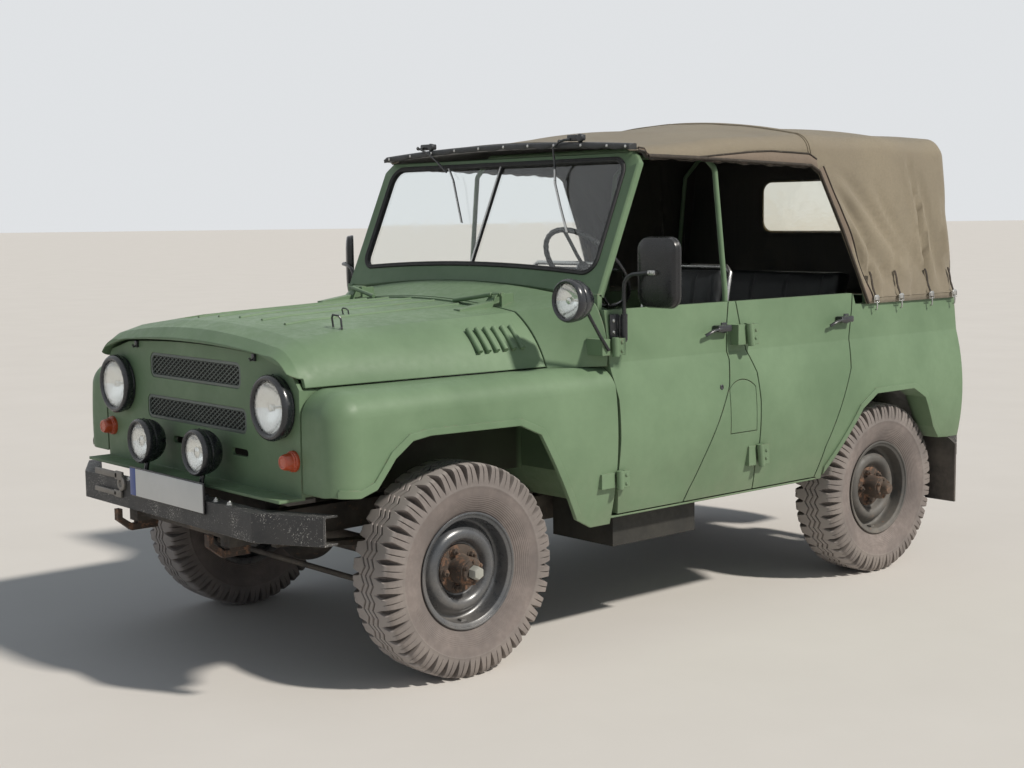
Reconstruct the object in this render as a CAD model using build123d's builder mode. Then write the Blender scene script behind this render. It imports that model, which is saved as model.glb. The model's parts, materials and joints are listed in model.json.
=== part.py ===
"""Soft-top army 4x4 car: +X is its left side, +Y runs rearwards, +Z is up, millimetres."""
import os
from math import cos, radians, tan

from build123d import *

os.makedirs("parts", exist_ok=True)

# Whole vehicle
WHEELBASE = 2380
FRONT_OVERHANG = 760
REAR_OVERHANG = 885
TRACK = 1448
HUB_HEIGHT = 380
FRONT_AXLE_Y = FRONT_OVERHANG - (FRONT_OVERHANG + WHEELBASE + REAR_OVERHANG) / 2
REAR_AXLE_Y = FRONT_AXLE_Y + WHEELBASE

# Stations behind the front axle
NOSE_STATION = -602
HOOD_LIP_STATION = -632
HOOD_REAR_STATION = 428
COWL_FRONT_STATION = 434
BULKHEAD_STATION = 575
COWL_REAR_STATION = 635
FENDER_REAR_STATION = 652
BODY_REAR_STATION = 2893
SEAM = 6

# Heights and half widths of the body side
SILL_BOTTOM = 482
DOOR_BOTTOM = 495
CREASE_HEIGHT = 1066
BELT_HEIGHT = 1262
QUARTER_TOP = 1214
FENDER_TOP = 1056
BODY_HALF_WIDTH = 892
CREASE_HALF_WIDTH = 852
BELT_HALF_WIDTH = 832
SILL_HALF_WIDTH = 842
DOOR_INNER_X = 806
SIDE_INNER_X = 790
SHEET = 10

# Door hinges: x, station and height of the upper and the lower barrel
HINGE_RADIUS = 13
HINGE_GAP = HINGE_RADIUS + 4
HINGE_X = 902
FRONT_HINGE = ((HINGE_X, 630, 1130), (HINGE_X, 650, 634))
REAR_HINGE = ((HINGE_X, 1383, 1132), (HINGE_X, 1450, 640))

# Floor and frame
FLOOR_TOP = 530
REAR_FLOOR_TOP = 630
FLOOR_THICKNESS = 20
RAIL_INNER_X = 300
RAIL_WIDTH = 60
RAIL_HEIGHT = 100
RAIL_TOP_MIDDLE = 496
RAIL_TOP_ENDS = 596

# Wheels and steering
TYRE_WIDTH = 218
KINGPIN_X = 596
SPINDLE_RADIUS = 24
BORE_RADIUS = 26


def at(station):
    """Y of a station measured rearwards from the front axle."""
    return FRONT_AXLE_Y + station


def behind(station):
    """Cross plane at a station, X across and Z up; extrusions run forwards."""
    return Plane.XZ.offset(-at(station))


def mirrored(piece):
    """The same piece on the other side of the car."""
    with BuildPart() as other:
        mirror(piece, about=Plane.YZ)
    return other.part


def save(piece, name):
    """Label one piece and write it as its own STEP file."""
    piece.label = name
    export_step(piece, f"parts/{name}.step")


def block(x, y, z, mode=Mode.ADD):
    """A plain block between two limits along each axis, in the part that is open."""
    with Locations((x[0], y[0], z[0])):
        Box(x[1] - x[0], y[1] - y[0], z[1] - z[0], align=Align.MIN, mode=mode)


def rod(start, end, radius):
    """A round bar between two points, in the part that is open."""
    line = Vector(*end) - Vector(*start)
    with Locations(Plane(origin=start, z_dir=line)):
        Cylinder(radius, line.length, align=(Align.CENTER, Align.CENTER, Align.MIN))


# Chassis frame: two rails that rise over both axles, joined by crossmembers
CROSSMEMBERS = (
    # station, underside, top
    (-640, 516, 576),
    (-470, 516, 576),
    (600, 448, 498),
    (1560, 450, 496),
    (1900, 462, 512),
    (2800, 516, 576),
)
CROSSMEMBER_LENGTH = 60
RAIL_FRONT_STATION = -690
RAIL_REAR_STATION = 2892
BODY_MOUNT_RADIUS = 26
SPRING_WIDTH = 56
SPRING_X = RAIL_INNER_X + RAIL_WIDTH + 2 + SPRING_WIDTH / 2
SPRING_EYE_TOP = 500
SPRING_REACH = 480
HITCH_LENGTH = 100
HITCH_HEIGHTS = (520, 572)
TOW_PIN_RADIUS = 17

with BuildPart() as chassis_frame:
    with BuildSketch(Plane.YZ.offset(RAIL_INNER_X)):
        Polygon(
            (at(RAIL_FRONT_STATION), RAIL_TOP_ENDS - RAIL_HEIGHT),
            (at(480), RAIL_TOP_ENDS - RAIL_HEIGHT),
            (at(700), RAIL_TOP_MIDDLE - RAIL_HEIGHT),
            (at(1750), RAIL_TOP_MIDDLE - RAIL_HEIGHT),
            (at(2000), RAIL_TOP_ENDS - RAIL_HEIGHT),
            (at(RAIL_REAR_STATION), RAIL_TOP_ENDS - RAIL_HEIGHT),
            (at(RAIL_REAR_STATION), RAIL_TOP_ENDS),
            (at(2000), RAIL_TOP_ENDS),
            (at(1850), RAIL_TOP_MIDDLE),
            (at(640), RAIL_TOP_MIDDLE),
            (at(430), RAIL_TOP_ENDS),
            (at(RAIL_FRONT_STATION), RAIL_TOP_ENDS),
        )
    extrude(amount=RAIL_WIDTH)
    for axle_y in (FRONT_AXLE_Y, REAR_AXLE_Y):
        for reach in (-SPRING_REACH, SPRING_REACH):
            block(
                (RAIL_INNER_X + RAIL_WIDTH / 2, SPRING_X + SPRING_WIDTH / 2),
                (axle_y + reach - 25, axle_y + reach + 25),
                (SPRING_EYE_TOP, SPRING_EYE_TOP + 10),
            )
            block(
                (RAIL_INNER_X + RAIL_WIDTH / 2, SPRING_X - SPRING_WIDTH / 2),
                (axle_y + reach - 25, axle_y + reach + 25),
                (SPRING_EYE_TOP - 30, SPRING_EYE_TOP + 10),
            )
    for station, top, mount in ((760, RAIL_TOP_MIDDLE, FLOOR_TOP), (1500, RAIL_TOP_MIDDLE, FLOOR_TOP),
                                (2700, RAIL_TOP_ENDS, REAR_FLOOR_TOP)):
        with BuildSketch(Plane.XY.offset(top)):
            with Locations((RAIL_INNER_X + RAIL_WIDTH / 2, at(station))):
                Circle(BODY_MOUNT_RADIUS)
        extrude(amount=mount - FLOOR_THICKNESS - top)
    mirror(about=Plane.YZ)
    for station, low, top in CROSSMEMBERS:
        block(
            (-RAIL_INNER_X, RAIL_INNER_X),
            (at(station) - CROSSMEMBER_LENGTH / 2, at(station) + CROSSMEMBER_LENGTH / 2),
            (low, top),
        )
    block((-45, 45), (at(2830), at(2830) + HITCH_LENGTH), HITCH_HEIGHTS)
    with Locations((0, at(2900), HITCH_HEIGHTS[1])):
        Hole(TOW_PIN_RADIUS, HITCH_HEIGHTS[1] - HITCH_HEIGHTS[0])
save(chassis_frame.part, "chassis_frame")


# Axles: a tube, a round differential housing and two spring seats
AXLE_TUBE_RADIUS = 36
DIFF_RADIUS = 120
FRONT_DIFF_X = -212
REAR_DIFF_X = 0
FRONT_AXLE_END = KINGPIN_X - 36
REAR_AXLE_END = TRACK / 2 - 66
SPRING_SEAT_TOP = HUB_HEIGHT + AXLE_TUBE_RADIUS + 8
FORK_HEIGHTS = ((HUB_HEIGHT - 92, HUB_HEIGHT - 74), (HUB_HEIGHT + 74, HUB_HEIGHT + 92))


def axle(axle_y, diff_x, end_x, steered):
    """Beam axle; a steered one ends in forks that hold the kingpins."""
    with BuildPart() as beam:
        rod((-end_x, axle_y, HUB_HEIGHT), (end_x, axle_y, HUB_HEIGHT), AXLE_TUBE_RADIUS)
        with BuildSketch(Plane.XY.offset(HUB_HEIGHT)):
            with BuildLine():
                Polyline((diff_x - 80, axle_y + 95), (diff_x - 140, axle_y + 50), (diff_x - 140, axle_y),
                         (diff_x + 140, axle_y), (diff_x + 140, axle_y + 50), (diff_x + 80, axle_y + 95))
                ThreePointArc((diff_x + 80, axle_y + 95), (diff_x, axle_y + DIFF_RADIUS),
                              (diff_x - 80, axle_y + 95))
            make_face()
        revolve(axis=Axis((0, axle_y, HUB_HEIGHT), (1, 0, 0)))
        for side in (-1, 1):
            inner, outer = sorted((side * (SPRING_X - SPRING_WIDTH / 2), side * (SPRING_X + SPRING_WIDTH / 2)))
            block((inner, outer), (axle_y - 55, axle_y + 55), (HUB_HEIGHT, SPRING_SEAT_TOP))
            if not steered:
                rod((side * end_x, axle_y, HUB_HEIGHT), (side * (TRACK / 2 + 20), axle_y, HUB_HEIGHT), SPINDLE_RADIUS)
            if steered:
                block(sorted((side * (end_x - 26), side * end_x)), (axle_y - 40, axle_y + 40),
                      (FORK_HEIGHTS[0][0], FORK_HEIGHTS[1][1]))
                for low, top in FORK_HEIGHTS:
                    block(sorted((side * (end_x - 26), side * (KINGPIN_X + 22))),
                          (axle_y - 26, axle_y + 26), (low, top))
    return beam.part


save(axle(FRONT_AXLE_Y, FRONT_DIFF_X, FRONT_AXLE_END, True), "front_axle")
save(axle(REAR_AXLE_Y, REAR_DIFF_X, REAR_AXLE_END, False), "rear_axle")


# Leaf springs on the axle seats, and dampers beside the rails
LEAF_STACK = 34
LEAF_END = 14
DAMPER_RADIUS = 24
DAMPER_REACH = 150

with BuildPart() as suspension:
    for axle_y, damper_side in ((FRONT_AXLE_Y, 1), (REAR_AXLE_Y, -1)):
        with BuildSketch(Plane.YZ.offset(SPRING_X - SPRING_WIDTH / 2)):
            with BuildLine():
                ThreePointArc(
                    (axle_y - SPRING_REACH - 30, SPRING_EYE_TOP),
                    (axle_y, SPRING_SEAT_TOP + LEAF_STACK),
                    (axle_y + SPRING_REACH + 30, SPRING_EYE_TOP),
                )
                Polyline(
                    (axle_y + SPRING_REACH + 30, SPRING_EYE_TOP),
                    (axle_y + SPRING_REACH + 30, SPRING_EYE_TOP - LEAF_END),
                    (axle_y + 60, SPRING_SEAT_TOP),
                    (axle_y - 60, SPRING_SEAT_TOP),
                    (axle_y - SPRING_REACH - 30, SPRING_EYE_TOP - LEAF_END),
                    (axle_y - SPRING_REACH - 30, SPRING_EYE_TOP),
                )
            make_face()
        extrude(amount=SPRING_WIDTH)
        with BuildSketch(Plane.XY.offset(HUB_HEIGHT + 20)):
            with Locations((RAIL_INNER_X - DAMPER_RADIUS, axle_y + damper_side * DAMPER_REACH)):
                Circle(DAMPER_RADIUS)
        extrude(amount=RAIL_TOP_ENDS - HUB_HEIGHT - 40)
    mirror(about=Plane.YZ)
save(suspension.part, "suspension")


# Engine, gearbox, transfer case and propeller shafts
ENGINE_HALF_WIDTH = 230
GEARBOX_HALF_WIDTH = 105
SHAFT_RADIUS = 26
TRANSFER_STATIONS = (900, 1180)

with BuildPart() as powertrain:
    block((-ENGINE_HALF_WIDTH, ENGINE_HALF_WIDTH), (at(-250), at(420)), (540, 1030))
    block((-GEARBOX_HALF_WIDTH, GEARBOX_HALF_WIDTH), (at(420), at(900)), (520, 676))
    block((-240, GEARBOX_HALF_WIDTH), (at(TRANSFER_STATIONS[0]), at(TRANSFER_STATIONS[1])), (380, 500))
    block((-GEARBOX_HALF_WIDTH, GEARBOX_HALF_WIDTH), (at(860), at(TRANSFER_STATIONS[1])), (490, 676))
    rod((0, at(TRANSFER_STATIONS[1]), 430), (0, REAR_AXLE_Y - DIFF_RADIUS - 2, HUB_HEIGHT), SHAFT_RADIUS)
    rod((-200, at(TRANSFER_STATIONS[0]), 412), (FRONT_DIFF_X, FRONT_AXLE_Y + DIFF_RADIUS + 2, HUB_HEIGHT),
        SHAFT_RADIUS)
save(powertrain.part, "powertrain")


# Exhaust: down from the engine, a silencer under the floor, and out over the rear axle
EXHAUST_X = 215
EXHAUST_RADIUS = 22
SILENCER_RADIUS = 62

with BuildPart() as exhaust:
    with BuildLine() as route:
        FilletPolyline(
            (EXHAUST_X, at(330), 540),
            (EXHAUST_X, at(330), 422),
            (EXHAUST_X, at(2100), 422),
            (EXHAUST_X, at(2260), 466),
            (EXHAUST_X, at(2500), 466),
            (EXHAUST_X, at(2660), 430),
            (EXHAUST_X, at(2850), 430),
            radius=70,
        )
    with BuildSketch(Plane(origin=route.line @ 0, z_dir=route.line % 0)):
        Circle(EXHAUST_RADIUS)
    sweep()
    rod((EXHAUST_X, at(1280), 422), (EXHAUST_X, at(1500), 422), SILENCER_RADIUS)
save(exhaust.part, "exhaust")


# Fuel tanks under the front seats, outside the rails
TANK_X = (432, 770)
TANK_STATIONS = (740, 1200)

with BuildPart() as fuel_tanks:
    block(TANK_X, (at(TANK_STATIONS[0]), at(TANK_STATIONS[1])), (350, FLOOR_TOP - FLOOR_THICKNESS))
    mirror(about=Plane.YZ)
save(fuel_tanks.part, "fuel_tanks")


# Floor pan with its bulkhead, gearbox tunnel and rear wheel boxes
TUNNEL_HALF_WIDTH = 130
TUNNEL_TOP = 700
TUNNEL_REAR_STATION = 1260
FLOOR_REAR_STATION = 2868
WHEEL_BOX_RADIUS = 470
WHEEL_BOX_INNER_X = 552

with BuildPart() as floor:
    with BuildSketch(Plane.YZ.offset(-SIDE_INNER_X)):
        Polygon(
            (at(BULKHEAD_STATION), FENDER_TOP),
            (at(BULKHEAD_STATION), 648),
            (at(715), FLOOR_TOP - FLOOR_THICKNESS),
            (at(1845), FLOOR_TOP - FLOOR_THICKNESS),
            (at(1975), REAR_FLOOR_TOP - FLOOR_THICKNESS),
            (at(FLOOR_REAR_STATION), REAR_FLOOR_TOP - FLOOR_THICKNESS),
            (at(FLOOR_REAR_STATION), REAR_FLOOR_TOP),
            (at(1965), REAR_FLOOR_TOP),
            (at(1835), FLOOR_TOP),
            (at(725), FLOOR_TOP),
            (at(BULKHEAD_STATION + 15), 656),
            (at(BULKHEAD_STATION + 15), FENDER_TOP),
        )
    extrude(amount=2 * SIDE_INNER_X)
    block((-TUNNEL_HALF_WIDTH, TUNNEL_HALF_WIDTH), (at(BULKHEAD_STATION), at(TUNNEL_REAR_STATION)),
          (FLOOR_TOP - FLOOR_THICKNESS, TUNNEL_TOP))
    with BuildSketch(Plane.XY.offset(400)):
        with Locations((0, at((BULKHEAD_STATION + TUNNEL_REAR_STATION) / 2 - 20))):
            Rectangle(2 * TUNNEL_HALF_WIDTH - 24, TUNNEL_REAR_STATION - BULKHEAD_STATION + 20)
    extrude(amount=TUNNEL_TOP - 12 - 400, mode=Mode.SUBTRACT)
    with BuildSketch(Plane.YZ.offset(WHEEL_BOX_INNER_X)):
        with Locations((REAR_AXLE_Y, HUB_HEIGHT)):
            Circle(WHEEL_BOX_RADIUS)
    extrude(amount=SIDE_INNER_X - WHEEL_BOX_INNER_X)
    with BuildSketch(Plane.YZ.offset(WHEEL_BOX_INNER_X + SHEET)):
        with Locations((REAR_AXLE_Y, HUB_HEIGHT)):
            Circle(WHEEL_BOX_RADIUS - SHEET)
    extrude(amount=SIDE_INNER_X - WHEEL_BOX_INNER_X, mode=Mode.SUBTRACT)
    with BuildSketch(Plane.YZ.offset(-WHEEL_BOX_INNER_X)):
        with Locations((REAR_AXLE_Y, HUB_HEIGHT)):
            Circle(WHEEL_BOX_RADIUS)
    extrude(amount=-(SIDE_INNER_X - WHEEL_BOX_INNER_X))
    with BuildSketch(Plane.YZ.offset(-WHEEL_BOX_INNER_X - SHEET)):
        with Locations((REAR_AXLE_Y, HUB_HEIGHT)):
            Circle(WHEEL_BOX_RADIUS - SHEET)
    extrude(amount=-(SIDE_INNER_X - WHEEL_BOX_INNER_X), mode=Mode.SUBTRACT)
    with BuildSketch(Plane.XY.offset(-200)):
        for side in (-1, 1):
            with Locations((side * 700, REAR_AXLE_Y)):
                Rectangle(300, 2 * WHEEL_BOX_RADIUS)
    extrude(amount=200 + REAR_FLOOR_TOP - FLOOR_THICKNESS, mode=Mode.SUBTRACT)
save(floor.part, "floor")


# Section of the body side: convex below the crease, upright above it
def side_section(inner_x, inset=0, top=BELT_HEIGHT, bottom=SILL_BOTTOM):
    """Section between inner_x and the outer skin; inset moves the skin inwards."""
    with BuildSketch() as section:
        with BuildLine():
            Line((inner_x, bottom), (SILL_HALF_WIDTH - inset, bottom))
            ThreePointArc(
                (SILL_HALF_WIDTH - inset, bottom),
                (BODY_HALF_WIDTH - inset, 790),
                (CREASE_HALF_WIDTH - inset, CREASE_HEIGHT),
            )
            Polyline(
                (CREASE_HALF_WIDTH - inset, CREASE_HEIGHT),
                (BELT_HALF_WIDTH - inset, top),
                (inner_x, top),
                (inner_x, bottom),
            )
        make_face()
    return section.sketch


def side_panel(outline, inner_x, top=BELT_HEIGHT):
    """Left panel with the body side's skin, cut to an outline of stations and heights."""
    with BuildPart() as panel:
        with BuildSketch(Plane.YZ.offset(inner_x)):
            Polygon(*((at(station), height) for station, height in outline))
        extrude(amount=BODY_HALF_WIDTH + 20 - inner_x)
        with BuildSketch(behind(BODY_REAR_STATION)):
            add(side_section(inner_x, top=top))
        extrude(amount=WHEELBASE + FRONT_OVERHANG, mode=Mode.INTERSECT)
    return panel.part


FRONT_DOOR_EDGE = ((640, BELT_HEIGHT), (648, 1036), (668, 930), (667, 780), (659, 630), (690, DOOR_BOTTOM))
FRONT_DOOR_REAR_EDGE = ((1047, DOOR_BOTTOM), (1064, 542), (1121, 654), (1209, 803), (1279, 932),
                        (1300, 1034), (1294, 1070), (1302, 1153), (1326, BELT_HEIGHT))
REAR_DOOR_EDGE = ((1376, BELT_HEIGHT), (1392, 1168), (1417, 1066), (1460, 974), (1468, 860),
                  (1463, 697), (1451, 596), (1464, DOOR_BOTTOM))
REAR_DOOR_REAR_EDGE = ((1859, DOOR_BOTTOM), (1898, 626), (2065, 946), (2085, 1082), (2116, 1192),
                       (2130, BELT_HEIGHT))
ARCH_LIP_FLARE = 7
REAR_ARCH_LIP = ((1912, 500), (2135, 768), (2234, 824), (2504, 824), (2591, 777), (2671, 635), (2729, 577),
                 (2742, 596), (2690, 648), (2610, 794), (2516, 848), (2226, 848), (2118, 786), (1910, 536))
REAR_ARCH = ((1910, 470), (1912, 500), (2135, 768), (2234, 824), (2504, 824), (2591, 777), (2671, 635),
             (2729, 577), (2807, 571))


def shifted(edge, distance):
    """An edge moved rearwards."""
    return tuple((station + distance, height) for station, height in edge)


front_door_skin = side_panel(FRONT_DOOR_EDGE + FRONT_DOOR_REAR_EDGE, DOOR_INNER_X)
rear_door_skin = side_panel(REAR_DOOR_EDGE + REAR_DOOR_REAR_EDGE, DOOR_INNER_X)


# Fuel flap in the panel between the doors
FLAP_STATIONS = (1282, 1436)
FLAP_HEIGHTS = (743, 951)
FLAP_ARCH = 34
FLAP_THICKNESS = 8
FLAP_CLEARANCE = 3


def flap_block(clearance, inset):
    """Flap outline with clearance around it, behind a skin inset by the given depth."""
    low, high = FLAP_STATIONS[0] - clearance, FLAP_STATIONS[1] + clearance
    shoulder = FLAP_HEIGHTS[1] - FLAP_ARCH + clearance
    with BuildPart() as flap:
        with BuildSketch(Plane.YZ.offset(SIDE_INNER_X)):
            with BuildLine():
                Polyline((at(high), shoulder), (at(high), FLAP_HEIGHTS[0] - clearance),
                         (at(low), FLAP_HEIGHTS[0] - clearance), (at(low), shoulder))
                ThreePointArc((at(low), shoulder), (at((low + high) / 2), FLAP_HEIGHTS[1] + clearance),
                              (at(high), shoulder))
            make_face()
        extrude(amount=120)
        with BuildSketch(behind(BODY_REAR_STATION)):
            add(side_section(SIDE_INNER_X, inset=inset))
        extrude(amount=WHEELBASE, mode=Mode.SUBTRACT)
    return flap.part


with BuildPart() as fuel_flap_left:
    add(flap_block(0, FLAP_THICKNESS))
    with BuildSketch(behind(BODY_REAR_STATION)):
        add(side_section(SIDE_INNER_X))
    extrude(amount=WHEELBASE, mode=Mode.INTERSECT)
save(fuel_flap_left.part, "fuel_flap_left")
save(mirrored(fuel_flap_left.part), "fuel_flap_right")


# Body side: pillar between the doors, rear quarter, sill and hinge post in one pressing
POST_STATIONS = (637, 663)
POST_INNER_X = 764
POST_TOP = 1250
TAILGATE_HALF_WIDTH = 694

with BuildPart() as body_side_left:
    add(side_panel(shifted(FRONT_DOOR_REAR_EDGE, SEAM)[::-1]
                   + shifted(REAR_DOOR_EDGE, -SEAM)[::-1], SIDE_INNER_X))
    add(side_panel(((2136, BELT_HEIGHT),) + shifted(REAR_DOOR_REAR_EDGE, SEAM)[::-1][1:] + REAR_ARCH
                   + ((BODY_REAR_STATION, 571), (BODY_REAR_STATION, QUARTER_TOP), (2150, QUARTER_TOP)),
                   SIDE_INNER_X))
    block((SIDE_INNER_X, DOOR_INNER_X - 4), (at(600), at(1906)), (SILL_BOTTOM, 600))
    block((SIDE_INNER_X, SILL_HALF_WIDTH), (at(660), at(1906)), (SILL_BOTTOM, DOOR_BOTTOM - SEAM))
    block((SIDE_INNER_X, DOOR_INNER_X - 4), (at(POST_STATIONS[0]), at(POST_STATIONS[1])), (SILL_BOTTOM, POST_TOP))
    block((POST_INNER_X, SIDE_INNER_X), (at(POST_STATIONS[0]), at(POST_STATIONS[1])), (640, POST_TOP))
    block((TAILGATE_HALF_WIDTH + 4, SIDE_INNER_X), (at(2869), at(BODY_REAR_STATION)), (571, QUARTER_TOP))
    add(flap_block(FLAP_CLEARANCE, FLAP_THICKNESS + FLAP_CLEARANCE), mode=Mode.SUBTRACT)
    for x, station, height in REAR_HINGE:
        block((836, x - 10), (at(station - HINGE_GAP - 44), at(station - HINGE_GAP)), (height - 40, height + 40))
    with BuildPart(mode=Mode.PRIVATE) as arch_lip:
        with BuildSketch(behind(BODY_REAR_STATION)):
            add(side_section(SIDE_INNER_X, inset=-ARCH_LIP_FLARE))
        extrude(amount=1100)
        with BuildSketch(Plane.YZ.offset(SIDE_INNER_X + 20)):
            Polygon(*((at(station), height) for station, height in REAR_ARCH_LIP))
        extrude(amount=120, mode=Mode.INTERSECT)
    add(arch_lip.part)
save(body_side_left.part, "body_side_left")
save(mirrored(body_side_left.part), "body_side_right")


# Tailgate with two pressed panels
with BuildPart() as tailgate:
    block((-TAILGATE_HALF_WIDTH, TAILGATE_HALF_WIDTH), (at(FLOOR_REAR_STATION), at(2890)), (612, 1208))
    with BuildSketch(behind(2890)):
        with Locations((-345, 905), (345, 905)):
            RectangleRounded(600, 470, 50)
    extrude(amount=5, mode=Mode.SUBTRACT)
save(tailgate.part, "tailgate")


# Front fenders: shelf beside the hood, rolled front corner, open wheel arch with a flared lip
FENDER_INNER_X = 425
FENDER_BOTTOM = 461
FENDER_ROLL = 96
FENDER_FACE_X = 690
FRONT_ARCH = ((-640, 700), (-592, 718), (-516, 714), (-451, 735), (-376, 829), (-302, 880), (-227, 890),
              (171, 884), (264, 843), (414, 591), (467, 504), (553, FENDER_BOTTOM))
FRONT_ARCH_LIP = ((-580, 745), (-516, 740), (-462, 760), (-390, 852), (-312, 904), (-232, 914),
                  (178, 908), (282, 862), (436, 604), (484, 524), (467, 504), (414, 591), (264, 843), (171, 884),
                  (-227, 890), (-302, 880), (-376, 829), (-451, 735), (-516, 714), (-592, 718))


def fender_form(inset):
    """Solid fender shape with rolled edges at the front and the top, its skin moved in by inset."""
    with BuildPart() as form:
        with BuildSketch(behind(FENDER_REAR_STATION)):
            with BuildLine():
                Polyline((866 - inset, FENDER_TOP - inset), (FENDER_INNER_X, FENDER_TOP - inset),
                         (FENDER_INNER_X, FENDER_BOTTOM), (SILL_HALF_WIDTH - inset, FENDER_BOTTOM))
                ThreePointArc((SILL_HALF_WIDTH - inset, FENDER_BOTTOM), (BODY_HALF_WIDTH - inset, 790),
                              (866 - inset, FENDER_TOP - inset))
            make_face()
        extrude(amount=FENDER_REAR_STATION - NOSE_STATION - inset)
        top_edges = form.edges().filter_by(Axis.Y).sort_by(Axis.X)[-2:]
        front_edges = form.faces().sort_by(Axis.Y)[0].edges()
        rolled = [edge for edge in top_edges if edge.center().Z > 1000]
        rolled += [edge for edge in front_edges if edge.center().Z > 1000 or edge.center().X > 800]
        fillet(rolled, FENDER_ROLL - inset)
    return form.part


with BuildPart() as fender_left:
    add(fender_form(0))
    with BuildPart(mode=Mode.PRIVATE) as arch_lip:
        add(fender_form(-ARCH_LIP_FLARE))
        with BuildSketch(Plane.YZ.offset(860)):
            Polygon(*((at(station), height) for station, height in FRONT_ARCH_LIP))
        extrude(amount=60, mode=Mode.INTERSECT)
    add(arch_lip.part)
    with BuildPart(mode=Mode.PRIVATE) as hollow:
        add(fender_form(SHEET))
        with BuildSketch(Plane.XY):
            with Locations((FENDER_INNER_X, 0)):
                Rectangle(2 * SHEET, 8000)
        extrude(amount=1200, mode=Mode.SUBTRACT)
    add(hollow.part, mode=Mode.SUBTRACT)
    with BuildSketch(Plane.YZ.offset(FENDER_INNER_X + SHEET)):
        Polygon(*((at(station), height) for station, height in FRONT_ARCH + ((553, 300), (-640, 300))))
    extrude(amount=600, mode=Mode.SUBTRACT)
    with BuildSketch(Plane.YZ.offset(FENDER_INNER_X)):
        Polygon(*((at(station), height) for station, height in
                  shifted(FRONT_DOOR_EDGE, -SEAM) + ((690, FENDER_BOTTOM - 20), (760, FENDER_BOTTOM - 20), (760, 1262))))
    extrude(amount=600, mode=Mode.SUBTRACT)
    with BuildSketch(Plane.XY):
        Polygon((FENDER_INNER_X, at(BULKHEAD_STATION)), (DOOR_INNER_X, at(BULKHEAD_STATION)),
                (DOOR_INNER_X, at(700)), (FENDER_INNER_X, at(700)))
    extrude(amount=1200, mode=Mode.SUBTRACT)
    block((FENDER_INNER_X, FENDER_FACE_X), (at(-700), at(-440)), (400, 1200), mode=Mode.SUBTRACT)
    with BuildSketch(Plane.YZ.offset(FENDER_INNER_X)):
        Polygon((at(-640), 300), (at(700), 300), (at(700), 640), (at(-640), 640))
    extrude(amount=SHEET, mode=Mode.SUBTRACT)
    block((862, HINGE_X - 10), (at(566), at(FRONT_HINGE[1][1] - HINGE_GAP)), (606, 662))
save(fender_left.part, "fender_left")
save(mirrored(fender_left.part), "fender_right")


# Nose panel with its two grille openings and lamp holes
NOSE_HALF_WIDTH = 680
NOSE_BOTTOM = 700
LAMP_X = 550
LAMP_HEIGHT = 990
LAMP_HOLE_RADIUS = 96
TURN_LAMP_HEIGHT = LAMP_HEIGHT - 172
SLOT_HEIGHT = LAMP_HEIGHT - 178
SLOT_LENGTH = 110
SLOT_WIDTH = 26
SLOT_PLACES = (-300, -110, 110, 300)
GRILLES = (
    # half width, underside, top
    (320, LAMP_HEIGHT + 42, LAMP_HEIGHT + 134),
    (350, LAMP_HEIGHT - 112, LAMP_HEIGHT - 24),
)

with BuildPart() as nose_panel:
    with BuildSketch(behind(NOSE_STATION + 14)):
        with BuildLine():
            Polyline((-NOSE_HALF_WIDTH, FENDER_TOP), (-NOSE_HALF_WIDTH, NOSE_BOTTOM), (NOSE_HALF_WIDTH, NOSE_BOTTOM),
                     (NOSE_HALF_WIDTH, FENDER_TOP), (626, 1120), (485, 1156))
            ThreePointArc((485, 1156), (0, 1174), (-485, 1156))
            Polyline((-485, 1156), (-626, 1120), (-NOSE_HALF_WIDTH, FENDER_TOP))
        make_face()
        for half_width, low, top in GRILLES:
            with Locations((0, (low + top) / 2)):
                RectangleRounded(2 * half_width, top - low, 26, mode=Mode.SUBTRACT)
        with Locations((LAMP_X, LAMP_HEIGHT), (-LAMP_X, LAMP_HEIGHT)):
            Circle(LAMP_HOLE_RADIUS, mode=Mode.SUBTRACT)
        with Locations(*((x, SLOT_HEIGHT) for x in SLOT_PLACES)):
            SlotOverall(SLOT_LENGTH, SLOT_WIDTH, mode=Mode.SUBTRACT)
    extrude(amount=14)
    for side in (-1, 1):
        block(sorted((side * (NOSE_HALF_WIDTH - SHEET), side * NOSE_HALF_WIDTH)),
              (at(NOSE_STATION), at(-445)), (NOSE_BOTTOM, FENDER_TOP))
    block((-NOSE_HALF_WIDTH, NOSE_HALF_WIDTH), (at(-690), at(NOSE_STATION + 14)), (690, 700))
save(nose_panel.part, "nose_panel")


# Diamond meshes set in the two grille openings
DIAMOND_PITCH = 40
DIAMOND_SIDE = 24
GRILLE_CORNER = 26
GRILLE_BORDER = 7

with BuildPart() as grilles:
    with BuildSketch(behind(NOSE_STATION + 12)):
        for half_width, low, top in GRILLES:
            middle = (low + top) / 2
            with Locations((0, middle)):
                RectangleRounded(2 * half_width, top - low, GRILLE_CORNER)
            columns = int(2 * (half_width - GRILLE_BORDER) // DIAMOND_PITCH)
            with Locations((0, middle)):
                with GridLocations(DIAMOND_PITCH, DIAMOND_PITCH, columns, 2):
                    Rectangle(DIAMOND_SIDE, DIAMOND_SIDE, rotation=45, mode=Mode.SUBTRACT)
                with GridLocations(DIAMOND_PITCH, DIAMOND_PITCH, columns - 1, 1):
                    Rectangle(DIAMOND_SIDE, DIAMOND_SIDE, rotation=45, mode=Mode.SUBTRACT)
    extrude(amount=6)
save(grilles.part, "grilles")


# Radiator on the second crossmember
with BuildPart() as radiator:
    block((-290, 290), (at(-500), at(-444)), (576, 1020))
save(radiator.part, "radiator")


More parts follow.
